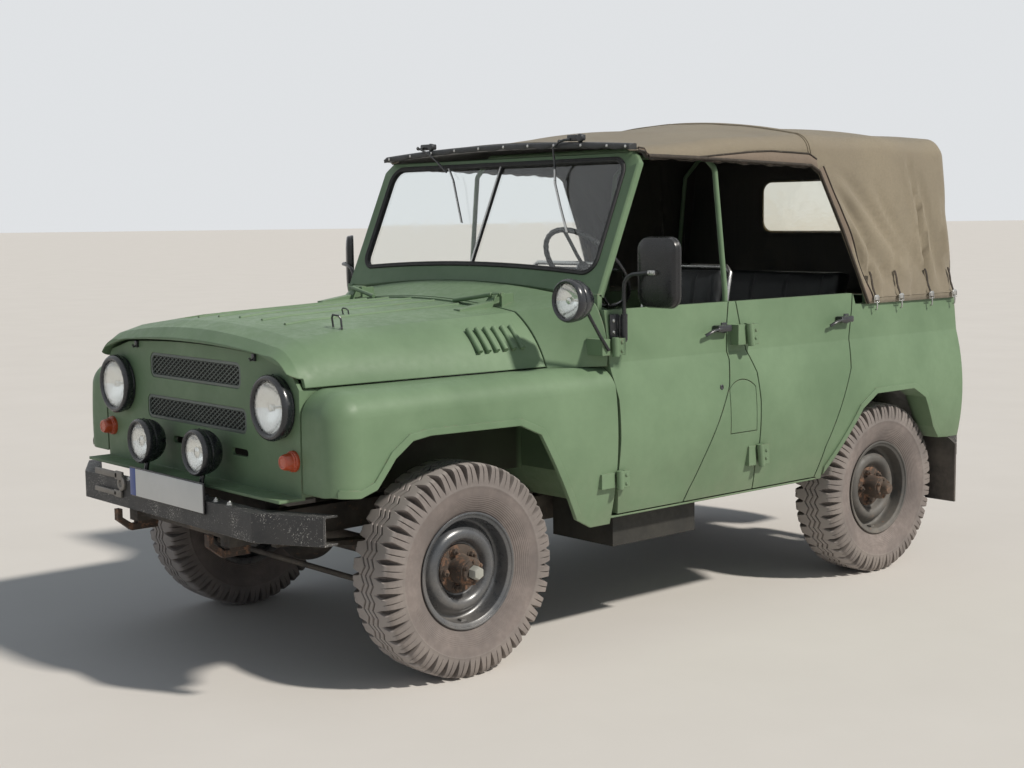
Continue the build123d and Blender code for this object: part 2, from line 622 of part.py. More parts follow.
# Hood: a crowned shell that closes down to the nose
HOOD_BOTTOM = 1062
PANEL_FRONT = (460, -420)
PANEL_FRONT_MIDDLE = -492
PANEL_REAR = (385, 400)
PANEL_DEPTH = 6
RIB_PLACES = (-300, -150, 0, 150, 300)
RIB_RADIUS = 6
LOUVRE_COUNT = 6
LOUVRE_FIRST_STATION = 150
LOUVRE_PITCH = 40
LOUVRE_RADIUS = 10
HOOD_HINGE = (446, 1318)
HOOD_HINGE_X = 450
HOOD_HINGE_RADIUS = 9
HOOD_GAUGE = 16
HOOD_SECTIONS = (
    # station, half width, shoulder x, shoulder height, top at the shoulder, crown height
    (HOOD_LIP_STATION, 684, 640, 1122, 1162, 1192),
    (-596, 688, 648, 1134, 1190, 1228),
    (-520, 692, 652, 1142, 1212, 1250),
    (-300, 702, 660, 1148, 1232, 1270),
    (HOOD_REAR_STATION, 742, 690, 1150, 1256, 1297),
)


def hood_section(half_width, shoulder_x, shoulder_height, roof_height, crown, inset, bottom):
    """Closed hood section: two side arcs and one crown arc over a flat bottom."""
    roof_x = shoulder_x - 120
    with BuildSketch() as section:
        with BuildLine():
            Line((-half_width + inset, bottom), (half_width - inset, bottom))
            ThreePointArc((half_width - inset, bottom), (shoulder_x - inset, shoulder_height - inset / 2),
                          (roof_x - inset / 2, roof_height - inset))
            ThreePointArc((roof_x - inset / 2, roof_height - inset), (0, crown - inset),
                          (-roof_x + inset / 2, roof_height - inset))
            ThreePointArc((-roof_x + inset / 2, roof_height - inset),
                          (-shoulder_x + inset, shoulder_height - inset / 2), (-half_width + inset, bottom))
        make_face()
    return section.sketch


def hood_form(inset, front_inset):
    """Solid hood shape, its skin moved in by inset and its lip by front_inset."""
    with BuildPart() as form:
        for station, *shape in HOOD_SECTIONS:
            with BuildSketch(behind(station + front_inset if station == HOOD_LIP_STATION else station)):
                add(hood_section(*shape, inset, HOOD_BOTTOM))
        loft(ruled=True)
    return form.part


def hood_height(station, x):
    """Height of the hood's crown at a station and a distance from the middle."""
    for near, far in zip(HOOD_SECTIONS, HOOD_SECTIONS[1:]):
        if station <= far[0]:
            break
    share = (station - near[0]) / (far[0] - near[0])
    roof_x, edge, crown = (first + share * (last - first) for first, last in
                           ((near[2] - 120, far[2] - 120), (near[4], far[4]), (near[5], far[5])))
    rise = crown - edge
    radius = (roof_x ** 2 + rise ** 2) / (2 * rise)
    return crown - radius + (radius ** 2 - x ** 2) ** 0.5


with BuildPart() as hood:
    add(hood_form(0, 0))
    add(hood_form(HOOD_GAUGE, HOOD_GAUGE), mode=Mode.SUBTRACT)
    with BuildSketch(behind(NOSE_STATION + 20)):
        with BuildLine():
            Polyline((712, 1066), (626, 1128), (485, 1164))
            ThreePointArc((485, 1164), (0, 1182), (-485, 1164))
            Polyline((-485, 1164), (-626, 1128), (-712, 1066), (-712, 1000), (712, 1000), (712, 1066))
        make_face()
    extrude(amount=100, mode=Mode.SUBTRACT)
    with BuildPart(mode=Mode.PRIVATE) as sunk_panel:
        with BuildSketch(Plane.XY.offset(HOOD_BOTTOM + 60)):
            with BuildLine():
                ThreePointArc((-PANEL_FRONT[0], at(PANEL_FRONT[1])), (0, at(PANEL_FRONT_MIDDLE)),
                              (PANEL_FRONT[0], at(PANEL_FRONT[1])))
                Polyline((PANEL_FRONT[0], at(PANEL_FRONT[1])), (PANEL_REAR[0], at(PANEL_REAR[1])),
                         (-PANEL_REAR[0], at(PANEL_REAR[1])), (-PANEL_FRONT[0], at(PANEL_FRONT[1])))
            make_face()
        extrude(amount=300)
        add(hood_form(PANEL_DEPTH, 0), mode=Mode.SUBTRACT)
    add(sunk_panel.part, mode=Mode.SUBTRACT)
    for x in RIB_PLACES:
        for start, end in ((-405, -300), (-300, PANEL_REAR[1] - 20)):
            rod((x, at(start), hood_height(start, x) - RIB_RADIUS), (x, at(end), hood_height(end, x) - RIB_RADIUS),
                RIB_RADIUS)
    for side in (-1, 1):
        for step in range(LOUVRE_COUNT):
            station = LOUVRE_FIRST_STATION + step * LOUVRE_PITCH
            rod((side * 706, at(station), 1132), (side * 634, at(station), 1212), LOUVRE_RADIUS)
        strap = sorted((side * (HOOD_HINGE_X - 18), side * (HOOD_HINGE_X + 18)))
        with BuildSketch(Plane.YZ.offset(strap[0])):
            Polygon((at(250), 1252), (at(250), 1270), (at(405), 1292), (at(HOOD_HINGE[0] - 6), HOOD_HINGE[1] + 9),
                    (at(HOOD_HINGE[0] + 6), HOOD_HINGE[1] + 2), (at(HOOD_HINGE[0] - 14), HOOD_HINGE[1] - 6),
                    (at(405), 1262))
        extrude(amount=36)
        rod((side * (HOOD_HINGE_X - 18), at(HOOD_HINGE[0]), HOOD_HINGE[1]),
            (side * (HOOD_HINGE_X + 18), at(HOOD_HINGE[0]), HOOD_HINGE[1]), HOOD_HINGE_RADIUS)
save(hood.part, "hood")


# Cowl between the hood and the windscreen
COWL_GAUGE = 12
COWL_SECTIONS = (
    # station, half width, shoulder x, shoulder height, roof x, roof height, crown height
    (COWL_FRONT_STATION, 744, 692, 1152, 572, 1258, 1299),
    (COWL_REAR_STATION, 852, 844, 1180, 790, 1288, 1352),
)


def cowl_section(half_width, shoulder_x, shoulder_height, roof_x, roof_height, crown, inset):
    """Closed cowl section over a flat bottom."""
    bottom = FENDER_TOP
    with BuildSketch() as section:
        with BuildLine():
            Line((-half_width + inset, bottom), (half_width - inset, bottom))
            ThreePointArc((half_width - inset, bottom), (shoulder_x - inset, shoulder_height - inset / 2),
                          (roof_x - inset / 2, roof_height - inset))
            ThreePointArc((roof_x - inset / 2, roof_height - inset), (0, crown - inset),
                          (-roof_x + inset / 2, roof_height - inset))
            ThreePointArc((-roof_x + inset / 2, roof_height - inset),
                          (-shoulder_x + inset, shoulder_height - inset / 2), (-half_width + inset, bottom))
        make_face()
    return section.sketch


with BuildPart() as cowl:
    for station, *shape in COWL_SECTIONS:
        with BuildSketch(behind(station)):
            add(cowl_section(*shape, 0))
    loft()
    with BuildPart(mode=Mode.PRIVATE) as cowl_hollow:
        for station, *shape in COWL_SECTIONS:
            with BuildSketch(behind(station)):
                add(cowl_section(*shape, COWL_GAUGE))
        loft()
    add(cowl_hollow.part, mode=Mode.SUBTRACT)
    for side in (-1, 1):
        for reach in (-28, 28):
            x = side * HOOD_HINGE_X + reach
            block((x - 7, x + 7), (at(HOOD_HINGE[0] - 5), at(500)), (1268, HOOD_HINGE[1] + 4))
        rod((side * HOOD_HINGE_X - 35, at(HOOD_HINGE[0]), HOOD_HINGE[1]),
            (side * HOOD_HINGE_X - 20, at(HOOD_HINGE[0]), HOOD_HINGE[1]), HOOD_HINGE_RADIUS)
        rod((side * HOOD_HINGE_X + 20, at(HOOD_HINGE[0]), HOOD_HINGE[1]),
            (side * HOOD_HINGE_X + 35, at(HOOD_HINGE[0]), HOOD_HINGE[1]), HOOD_HINGE_RADIUS)
        block(sorted((side * 806, side * (HINGE_X - 10))), (at(572), at(FRONT_HINGE[0][1] - HINGE_GAP)),
              (1100, 1160))
save(cowl.part, "cowl")


# Windscreen: a raked frame with two panes and a divider
SCREEN_FOOT = (COWL_REAR_STATION, 1300)
SCREEN_TOP = (873, 1851)
SCREEN_HALF_WIDTH = 800
SCREEN_DEPTH = 30
SCREEN_RISE = 52
GLASS_DEPTH = 6
GLASS_LAP = 8
screen_slope = Vector(0, SCREEN_TOP[0] - SCREEN_FOOT[0], SCREEN_TOP[1] - SCREEN_FOOT[1])
SCREEN_LENGTH = screen_slope.length
screen_plane = Plane(
    origin=(0, at(SCREEN_FOOT[0]), SCREEN_FOOT[1]),
    x_dir=(1, 0, 0),
    z_dir=Vector(1, 0, 0).cross(screen_slope),
)


def screen_pane(side, lap):
    """One pane outline on the screen's plane, larger than its opening by lap."""
    with BuildSketch(mode=Mode.PRIVATE) as pane:
        with BuildLine():
            Polyline((side * (15 - lap), 136 - lap), (side * (620 + lap), 102 - lap), (side * (674 + lap), 150),
                     (side * (724 + lap), 540 + lap), (side * (690 + lap), 562 + lap), (side * (15 - lap), 566 + lap),
                     close=True)
        make_face()
    return pane.sketch


with BuildPart() as windscreen_frame:
    with BuildSketch(screen_plane):
        with BuildLine():
            ThreePointArc((-SCREEN_HALF_WIDTH, 0), (0, SCREEN_RISE), (SCREEN_HALF_WIDTH, 0))
            Polyline((SCREEN_HALF_WIDTH, 0), (SCREEN_HALF_WIDTH, SCREEN_LENGTH - 40),
                     (SCREEN_HALF_WIDTH - 40, SCREEN_LENGTH), (-SCREEN_HALF_WIDTH + 40, SCREEN_LENGTH),
                     (-SCREEN_HALF_WIDTH, SCREEN_LENGTH - 40), (-SCREEN_HALF_WIDTH, 0))
        make_face()
        for side in (-1, 1):
            add(screen_pane(side, 0), mode=Mode.SUBTRACT)
    extrude(amount=-SCREEN_DEPTH)
    with BuildSketch(screen_plane.offset(-12)):
        for side in (-1, 1):
            add(screen_pane(side, GLASS_LAP))
    extrude(amount=-GLASS_DEPTH, mode=Mode.SUBTRACT)
    for side in (-1, 1):
        block(sorted((side * POST_INNER_X, side * SCREEN_HALF_WIDTH)), (at(637), at(662)), (POST_TOP, 1320))
save(windscreen_frame.part, "windscreen_frame")

with BuildPart() as windscreen_glass:
    with BuildSketch(screen_plane.offset(-12)):
        for side in (-1, 1):
            add(screen_pane(side, GLASS_LAP))
    extrude(amount=-GLASS_DEPTH)
save(windscreen_glass.part, "windscreen_glass")


# Front bumper: a channel whose ends sweep back
BUMPER_FRONT_STATION = -748
BUMPER_HEIGHTS = (560, 660)
BUMPER_GAUGE = 7

with BuildPart() as front_bumper:
    with BuildSketch(Plane.XY.offset(BUMPER_HEIGHTS[0])):
        Polygon(
            (-600, at(BUMPER_FRONT_STATION)), (600, at(BUMPER_FRONT_STATION)), (830, at(-620)),
            (830, at(-566)), (575, at(-690)), (-575, at(-690)), (-830, at(-566)), (-830, at(-620)),
        )
    extrude(amount=BUMPER_HEIGHTS[1] - BUMPER_HEIGHTS[0])
    with BuildSketch(Plane.XY.offset(BUMPER_HEIGHTS[0] + BUMPER_GAUGE)):
        Polygon(
            (-598, at(BUMPER_FRONT_STATION) + BUMPER_GAUGE), (598, at(BUMPER_FRONT_STATION) + BUMPER_GAUGE),
            (840, at(-606)), (840, at(-540)), (575, at(-670)), (-575, at(-670)), (-840, at(-540)),
            (-840, at(-606)),
        )
    extrude(amount=BUMPER_HEIGHTS[1] - BUMPER_HEIGHTS[0] - 2 * BUMPER_GAUGE, mode=Mode.SUBTRACT)
save(front_bumper.part, "front_bumper")


# Tow hooks under the bumper, on the frame's front ends
with BuildPart() as tow_hooks:
    with BuildSketch(Plane.YZ.offset(RAIL_INNER_X + 15)):
        with BuildLine():
            Polyline((at(-600), 486), (at(-700), 486), (at(-742), 516), (at(-742), 548), (at(-760), 548),
                     (at(-760), 506), (at(-706), 462), (at(-600), 462), close=True)
        make_face()
    extrude(amount=30)
    block((RAIL_INNER_X + 10, RAIL_INNER_X + 50), (at(-680), at(-600)), (480, RAIL_TOP_ENDS - RAIL_HEIGHT))
    mirror(about=Plane.YZ)
save(tow_hooks.part, "tow_hooks")


# Lamps: head lamps in the nose, fog lamps on the bumper, a search lamp by the left hinge
LAMPS = (
    # x, front station, height, scale, bowl depth
    (LAMP_X, -640, LAMP_HEIGHT, 1.0, 36),
    (-LAMP_X, -640, LAMP_HEIGHT, 1.0, 36),
    (200, -724, SLOT_HEIGHT, 0.74, 84),
    (-200, -724, SLOT_HEIGHT, 0.74, 84),
    (900, 390, 1310, 0.70, 100),
)
LENS_RADIUS = 88
RIM_RADIUS = 112
LENS_SEAT = 14
LENS_DOME = 14


def lamp_plane(x, station, height):
    """Plane through a lamp's axis: x runs across and y rearwards along it."""
    return Plane(origin=(x, at(station), height), x_dir=(1, 0, 0), z_dir=(0, 0, 1))


with BuildPart() as lamp_housings:
    for x, station, height, scale, depth in LAMPS:
        lens, rim = LENS_RADIUS * scale, RIM_RADIUS * scale
        with BuildSketch(lamp_plane(x, station, height)):
            with BuildLine():
                Polyline((0, LENS_SEAT), (lens, LENS_SEAT), (lens, 2), (lens + 5, -5), (rim - 10, -7), (rim - 2, -1),
                         (rim, 10), (rim - 4, 34), (rim * 0.84, 34 + (depth - 34) * 0.45),
                         (rim * 0.58, 34 + (depth - 34) * 0.85), (rim * 0.3, depth + 1), (0, depth + 1),
                         (0, LENS_SEAT))
            make_face()
        revolve(axis=Axis((x, at(station), height), (0, 1, 0)))
    for side in (-1, 1):
        rod((side * LAMP_X, at(-604), LAMP_HEIGHT), (side * LAMP_X, at(-540), LAMP_HEIGHT), LAMP_HOLE_RADIUS - 2)
        rod((side * 200, at(-700), BUMPER_HEIGHTS[1]), (side * 200, at(-700), SLOT_HEIGHT - 52), 9)
    with BuildSketch(Plane.YZ.offset(HINGE_X - 10)):
        Polygon((at(462), 1262), (at(498), 1262), (at(610), 1168), (at(610), 1104), (at(580), 1104), (at(566), 1150))
    extrude(amount=8)
save(lamp_housings.part, "lamp_housings")

with BuildPart() as lamp_lenses:
    for x, station, height, scale, depth in LAMPS:
        lens = LENS_RADIUS * scale
        dome = (lens ** 2 + LENS_DOME ** 2) / (2 * LENS_DOME)
        with BuildSketch(lamp_plane(x, station, height)):
            with BuildLine():
                Polyline((0, 2 - LENS_DOME), (0, LENS_SEAT), (lens, LENS_SEAT), (lens, 2))
                ThreePointArc((lens, 2), (lens / 2, 2 - LENS_DOME + dome - (dome ** 2 - lens ** 2 / 4) ** 0.5),
                              (0, 2 - LENS_DOME))
            make_face()
        revolve(axis=Axis((x, at(station), height), (0, 1, 0)))
save(lamp_lenses.part, "lamp_lenses")

with BuildPart() as turn_lamps:
    for side in (-1, 1):
        foot = (side * 640, at(NOSE_STATION), TURN_LAMP_HEIGHT)
        top = (side * 640, at(NOSE_STATION - 14), TURN_LAMP_HEIGHT)
        rod(foot, top, 36)
        with Locations(Plane(origin=top, z_dir=(0, -1, 0))):
            Cone(32, 24, 34, align=(Align.CENTER, Align.CENTER, Align.MIN))
save(turn_lamps.part, "turn_lamps")

with BuildPart() as tail_lamps:
    for side in (-1, 1):
        for height, radius in ((900, 38), (810, 34)):
            rod((side * 800, at(BODY_REAR_STATION), height), (side * 800, at(BODY_REAR_STATION + 40), height), radius)
save(tail_lamps.part, "tail_lamps")


# Short rear bumpers on the frame's rear ends, and mud flaps under the rear corners
with BuildPart() as rear_bumpers:
    block((RAIL_INNER_X, 830), (at(RAIL_REAR_STATION), at(2950)), (470, 562))
    mirror(about=Plane.YZ)
save(rear_bumpers.part, "rear_bumpers")

with BuildPart() as mudflaps:
    with BuildSketch(behind(2812)):
        Polygon((740, 571), (740, 300), (764, 275), (918, 275), (918, 545), (880, 571))
    extrude(amount=12)
    mirror(about=Plane.YZ)
save(mudflaps.part, "mudflaps")


# Soft top: roof, rear quarters and rear wall of canvas, open above the doors
CANVAS = 14
CANVAS_FRONT_STATION = 876
CANVAS_REAR_STATION = 2893
ROOF_SECTIONS = (
    # station, roof edge height, crown height
    (CANVAS_FRONT_STATION, 1868, 1916),
    (1550, 1930, 1992),
    (1940, 1945, 2030),
    (CANVAS_REAR_STATION, 1940, 1988),
)
CANVAS_FOOT_X = 858
CANVAS_SHOULDER_X = 782


def canvas_section(edge, crown, inset):
    """Closed section of the soft top: leaning sides, rounded shoulders, crowned roof."""
    foot, shoulder = CANVAS_FOOT_X - inset, CANVAS_SHOULDER_X - inset
    with BuildSketch() as section:
        with BuildLine():
            Line((-foot, QUARTER_TOP), (foot, QUARTER_TOP))
            Line((foot, QUARTER_TOP), (shoulder, edge - 70))
            ThreePointArc((shoulder, edge - 70), (shoulder - 30, edge - 18 - inset / 2),
                          (shoulder - 90, edge + 8 - inset))
            ThreePointArc((shoulder - 90, edge + 8 - inset), (0, crown - inset), (90 - shoulder, edge + 8 - inset))
            ThreePointArc((90 - shoulder, edge + 8 - inset), (30 - shoulder, edge - 18 - inset / 2),
                          (-shoulder, edge - 70))
            Line((-shoulder, edge - 70), (-foot, QUARTER_TOP))
        make_face()
    return section.sketch


with BuildPart() as canvas_top:
    for station, edge, crown in ROOF_SECTIONS:
        with BuildSketch(behind(station)):
            add(canvas_section(edge, crown, 0))
    loft(ruled=True)
    with BuildPart(mode=Mode.PRIVATE) as canvas_hollow:
        for station, edge, crown in ROOF_SECTIONS:
            inner_station = station - CANVAS if station == CANVAS_REAR_STATION else station
            with BuildSketch(behind(inner_station)):
                add(canvas_section(edge, crown, CANVAS))
        loft(ruled=True)
    add(canvas_hollow.part, mode=Mode.SUBTRACT)
    with BuildSketch(Plane.YZ.offset(-1000)):
        Polygon((at(800), 1100), (at(800), 1864), (at(910), 1864), (at(925), 1832), (at(1240), 1826), (at(1900), 1806),
                (at(1950), 1780), (at(2076), 1534), (at(2214), 1200), (at(2214), 1100))
    extrude(amount=2000, mode=Mode.SUBTRACT)
    with BuildSketch(behind(CANVAS_REAR_STATION + 50)):
        with Locations((0, 1640)):
            RectangleRounded(600, 260, 60)
    extrude(amount=200, mode=Mode.SUBTRACT)
save(canvas_top.part, "canvas_top")

with BuildPart() as rear_window:
    with BuildSketch(behind(CANVAS_REAR_STATION - 5)):
        with Locations((0, 1640)):
            RectangleRounded(600, 260, 60)
    extrude(amount=3)
save(rear_window.part, "rear_window")


# Header bar and wipers over the windscreen
HEADER_HALF_WIDTH = 775
HEADER_BOTTOM = 1852
HEADER_HEIGHT = 28
HEADER_CROWN = 26
HEADER_DEPTH = 44
WIPER_X = 330
WIPER_RADIUS = 5

with BuildPart() as header_bar:
    with BuildSketch(behind(CANVAS_FRONT_STATION - 2)):
        with BuildLine():
            ThreePointArc((-HEADER_HALF_WIDTH, HEADER_BOTTOM), (0, HEADER_BOTTOM + HEADER_CROWN),
                          (HEADER_HALF_WIDTH, HEADER_BOTTOM))
            Line((HEADER_HALF_WIDTH, HEADER_BOTTOM), (HEADER_HALF_WIDTH, HEADER_BOTTOM + HEADER_HEIGHT))
            ThreePointArc((HEADER_HALF_WIDTH, HEADER_BOTTOM + HEADER_HEIGHT),
                          (0, HEADER_BOTTOM + HEADER_HEIGHT + HEADER_CROWN),
                          (-HEADER_HALF_WIDTH, HEADER_BOTTOM + HEADER_HEIGHT))
            Line((-HEADER_HALF_WIDTH, HEADER_BOTTOM + HEADER_HEIGHT), (-HEADER_HALF_WIDTH, HEADER_BOTTOM))
        make_face()
    extrude(amount=HEADER_DEPTH)
save(header_bar.part, "header_bar")

with BuildPart() as wipers:
    for side in (-1, 1):
        x = side * WIPER_X
        block((x - 35, x + 35), (at(846), at(872)), (1903, 1926))
        block((x - 6, x + 6), (at(820), at(850)), (1906, 1916))
        rod((x, at(822), 1912), (x, at(794), 1730), WIPER_RADIUS)
        rod((x, at(808), 1722), (x, at(701), 1474), WIPER_RADIUS)
        block((x - 5, x + 5), (at(790), at(812)), (1716, 1734))
save(wipers.part, "wipers")


# Soft-top frame: the pillar posts and three bows under the canvas
BOW_RADIUS = 11
BOWS = (
    # station, foot x, foot height, shoulder height, roof height
    (1350, 796, BELT_HEIGHT, 1790, 1880),
    (2260, 804, 1214, 1800, 1890),
    (2780, 804, 1214, 1800, 1890),
)

with BuildPart() as canopy_frame:
    for station, foot_x, foot, shoulder, roof in BOWS:
        with BuildLine() as bow:
            FilletPolyline((-foot_x, at(station), foot), (-foot_x, at(station), foot + 40),
                           (-740, at(station), shoulder), (-640, at(station), roof), (640, at(station), roof),
                           (740, at(station), shoulder), (foot_x, at(station), foot + 40),
                           (foot_x, at(station), foot), radius=30)
        with BuildSketch(Plane(origin=bow.line @ 0, z_dir=bow.line % 0)):
            Circle(BOW_RADIUS)
        sweep(path=bow.line)
save(canopy_frame.part, "canopy_frame")


# Seats: padded cushions and backs on boxes or tube legs
SEAT_X = 390
SEAT_HALF_WIDTH = 245
CUSHION_ROLL = 26

with BuildPart() as front_seats:
    with BuildPart(mode=Mode.PRIVATE) as padding:
        with BuildSketch(Plane.YZ.offset(SEAT_X - SEAT_HALF_WIDTH)):
            Polygon((at(985), 800), (at(1465), 770), (at(1465), 860), (at(1425), 890), (at(985), 910))
            Polygon((at(1442), 868), (at(1520), 852), (at(1606), 1372), (at(1588), 1398), (at(1536), 1400),
                    (at(1516), 1384))
        extrude(amount=2 * SEAT_HALF_WIDTH)
        fillet(padding.edges().filter_by(Axis.X).group_by(Axis.Z)[-1], 14)
    add(padding.part)
    block((SEAT_X - 190, SEAT_X + 190), (at(1040), at(1420)), (FLOOR_TOP, 802))
    mirror(about=Plane.YZ)
save(front_seats.part, "front_seats")

with BuildPart() as rear_seat:
    with BuildSketch(Plane.YZ.offset(-530)):
        Polygon((at(2000), 800), (at(2440), 790), (at(2440), 870), (at(2000), 910))
        Polygon((at(2400), 850), (at(2470), 850), (at(2560), 1330), (at(2545), 1350), (at(2490), 1350),
                (at(2476), 1336))
    extrude(amount=1060)
    for x in (-500, 0, 460):
        block((x, x + 40), (at(2060), at(2420)), (REAR_FLOOR_TOP, 802))
save(rear_seat.part, "rear_seat")


# Dashboard, steering column and levers
STEERING_WHEEL_CENTRE = (380, at(985), 1396)
COLUMN_FOOT = (380, at(749), 1212)
DASH_REAR_STATION = 760
column_direction = Vector(*STEERING_WHEEL_CENTRE) - Vector(*COLUMN_FOOT)

with BuildPart() as dashboard:
    with BuildSketch(Plane.YZ.offset(-POST_INNER_X)):
        Polygon((at(642), 1000), (at(700), 1000), (at(DASH_REAR_STATION), 1040), (at(DASH_REAR_STATION), 1240),
                (at(700), 1268), (at(668), 1268),
                (at(642), 1240))
    extrude(amount=2 * POST_INNER_X)
save(dashboard.part, "dashboard")

with BuildPart() as controls:
    rod(COLUMN_FOOT, tuple(Vector(*STEERING_WHEEL_CENTRE) - column_direction.normalized() * 42), 24)
    rod((60, at(1006), TUNNEL_TOP - 40), (60, at(960), 1010), 12)
    rod((-60, at(1084), TUNNEL_TOP - 40), (-60, at(1050), 920), 10)
    block((-100, 500), (at(600), at(DASH_REAR_STATION)), (900, 1400), mode=Mode.SUBTRACT)
    block((-100, 100), (at(900), at(1200)), (TUNNEL_TOP - 80, TUNNEL_TOP), mode=Mode.SUBTRACT)
save(controls.part, "controls")

with BuildPart() as steering_wheel:
    with BuildSketch(Plane(origin=STEERING_WHEEL_CENTRE, x_dir=(1, 0, 0), z_dir=Vector(1, 0, 0).cross(column_direction))):
        with Locations((200, 0)):
            RegularPolygon(13, 8)
    revolve(axis=Axis(STEERING_WHEEL_CENTRE, column_direction))
    wheel_plane = Plane(origin=STEERING_WHEEL_CENTRE, x_dir=(1, 0, 0), z_dir=column_direction)
    with BuildSketch(wheel_plane.offset(-8)):
        Rectangle(400, 24)
        Rectangle(24, 400)
        Circle(38)
    extrude(amount=16)
    with BuildSketch(wheel_plane.offset(-36)):
        Circle(32)
    extrude(amount=30)
save(steering_wheel.part, "steering_wheel")


# Doors with their outside hinges and handles


def hinge_blocks(hinge, length):
    """Hinge barrels on the door's axis with a leaf that reaches back over the door."""
    (top_x, top_s, top_z), (low_x, low_s, low_z) = hinge
    lean = (Vector(top_x, at(top_s), top_z) - Vector(low_x, at(low_s), low_z)).normalized()
    for x, station, height in hinge:
        centre = Vector(x, at(station), height)
        rod(tuple(centre - lean * length / 2), tuple(centre + lean * length / 2), HINGE_RADIUS)
        leaf_height = (height - length / 2 + 4, height + length / 2 - 4)
        block((CREASE_HALF_WIDTH + 42, x), (at(station + 8), at(station + 52)), leaf_height)
        block((DOOR_INNER_X + 20, CREASE_HALF_WIDTH + 46), (at(station + 34), at(station + 52)), leaf_height)


with BuildPart() as door_front_left:
    add(front_door_skin)
    hinge_blocks(FRONT_HINGE, 70)
    block((834, 876), (at(1225), at(1300)), (1150, 1172))
save(door_front_left.part, "door_front_left")
save(mirrored(door_front_left.part), "door_front_right")

with BuildPart() as door_rear_left:
    add(rear_door_skin)
    hinge_blocks(REAR_HINGE, 90)
    block((834, 876), (at(2005), at(2085)), (1145, 1167))
save(door_rear_left.part, "door_rear_left")
save(mirrored(door_rear_left.part), "door_rear_right")


# Mirrors on the front doors
with BuildPart() as mirror_left:
    block((838.4, 850), (at(650), at(690)), (1200, 1290))
    rod((843, at(665), 1280), (905, at(690), 1360), 7)
    rod((905, at(690), 1360), (960, at(720), 1385), 7)
    with BuildSketch(behind(745)):
        with Locations((990, 1400)):
            RectangleRounded(200, 262, 40)
    extrude(amount=34)
save(mirror_left.part, "mirror_left")
save(mirrored(mirror_left.part), "mirror_right")


# Swivels, tie rod and wheels
ARM_REACH = 175
ARM_HEIGHT = HUB_HEIGHT - 50

with BuildPart() as knuckle_left:
    rod((KINGPIN_X, FRONT_AXLE_Y, FORK_HEIGHTS[0][1] + 2), (KINGPIN_X, FRONT_AXLE_Y, FORK_HEIGHTS[1][0] - 2), 30)
    rod((KINGPIN_X, FRONT_AXLE_Y, HUB_HEIGHT), (TRACK / 2 + 20, FRONT_AXLE_Y, HUB_HEIGHT), SPINDLE_RADIUS)
    block((KINGPIN_X - 12, KINGPIN_X + 12), (FRONT_AXLE_Y - ARM_REACH, FRONT_AXLE_Y),
          (ARM_HEIGHT - 9, ARM_HEIGHT + 9))
    rod((KINGPIN_X, FRONT_AXLE_Y - ARM_REACH, ARM_HEIGHT - 9), (KINGPIN_X, FRONT_AXLE_Y - ARM_REACH, ARM_HEIGHT + 9),
        15)
save(knuckle_left.part, "knuckle_left")
save(mirrored(knuckle_left.part), "knuckle_right")

with BuildPart() as tie_rod:
    rod((-KINGPIN_X, FRONT_AXLE_Y - ARM_REACH, ARM_HEIGHT - 24), (KINGPIN_X, FRONT_AXLE_Y - ARM_REACH, ARM_HEIGHT - 24),
        11)
save(tie_rod.part, "tie_rod")


TYRE_PROFILE = (
    # distance of the flats from the axle, distance outwards from the middle plane
    (192, 66), (256, 100), (318, 109), (380, 88),
)
LUG_COUNT = 40
GROOVE_FOOT = (318, 109)
GROOVE_END = (380, 40)
GROOVE_DEPTH = 60
GROOVE_HALF_WIDTH = 27
RIM_PROFILE = (
    # radius, distance outwards from the middle plane
    (BORE_RADIUS, -62), (150, -62), (154, -12), (166, -12), (172, -30), (184, -40), (184, -76), (200, -76),
    (200, -84), (208, -84), (208, -76), (192, -72), (192, -44), (179, -34), (179, 8), (192, 18), (192, 72),
    (208, 76), (208, 84), (200, 84), (197, 78), (185, 75), (185, 26), (171, 12), (156, 30), (148, 44),
    (136, 53), (122, 54), (108, 46), (98, 30), (92, 22), (60, 20), (52, 28), (50, 96), (43, 106),
    (25, 108), (23, 140), (0, 140), (0, 44), (BORE_RADIUS, 44),
)


half_pitch = 180 / LUG_COUNT
corner = 1 / cos(radians(half_pitch))
groove_foot = Vector(GROOVE_FOOT[0] * corner, 0, GROOVE_FOOT[1])
groove_run = Vector(GROOVE_END[0] * corner, 0, GROOVE_END[1]) - groove_foot
half_flat = TYRE_PROFILE[-1][0] * tan(radians(half_pitch))

# One lug's length of tyre between two mitred ends, with half a groove at each end of both shoulders
with BuildPart() as tyre_pitch:
    with BuildSketch(Plane.XZ):
        Polygon(*TYRE_PROFILE, *((radius, -offset) for radius, offset in TYRE_PROFILE[::-1]))
    extrude(amount=half_flat, both=True)
    with BuildSketch():
        Polygon((0, 0), (TYRE_PROFILE[-1][0], -half_flat), (TYRE_PROFILE[-1][0], half_flat))
    extrude(amount=TYRE_WIDTH, both=True, mode=Mode.INTERSECT)
    with BuildPart(mode=Mode.PRIVATE) as groove:
        with BuildSketch(Plane(origin=groove_foot, x_dir=(-groove_run.Z, 0, groove_run.X), z_dir=groove_run)):
            Polygon((0, 0), (GROOVE_DEPTH, -GROOVE_HALF_WIDTH), (GROOVE_DEPTH, GROOVE_HALF_WIDTH))
        extrude(amount=groove_run.length)
        mirror(about=Plane.XY)
    for turn in (-half_pitch, half_pitch):
        add(groove.part.rotate(Axis.Z, turn), mode=Mode.SUBTRACT)

with BuildPart() as tyre_pattern:
    with PolarLocations(0, LUG_COUNT):
        add(tyre_pitch.part)

with BuildPart() as rim_pattern:
    with BuildSketch(Plane.XZ):
        Polygon(*RIM_PROFILE)
    revolve(axis=Axis.Z)

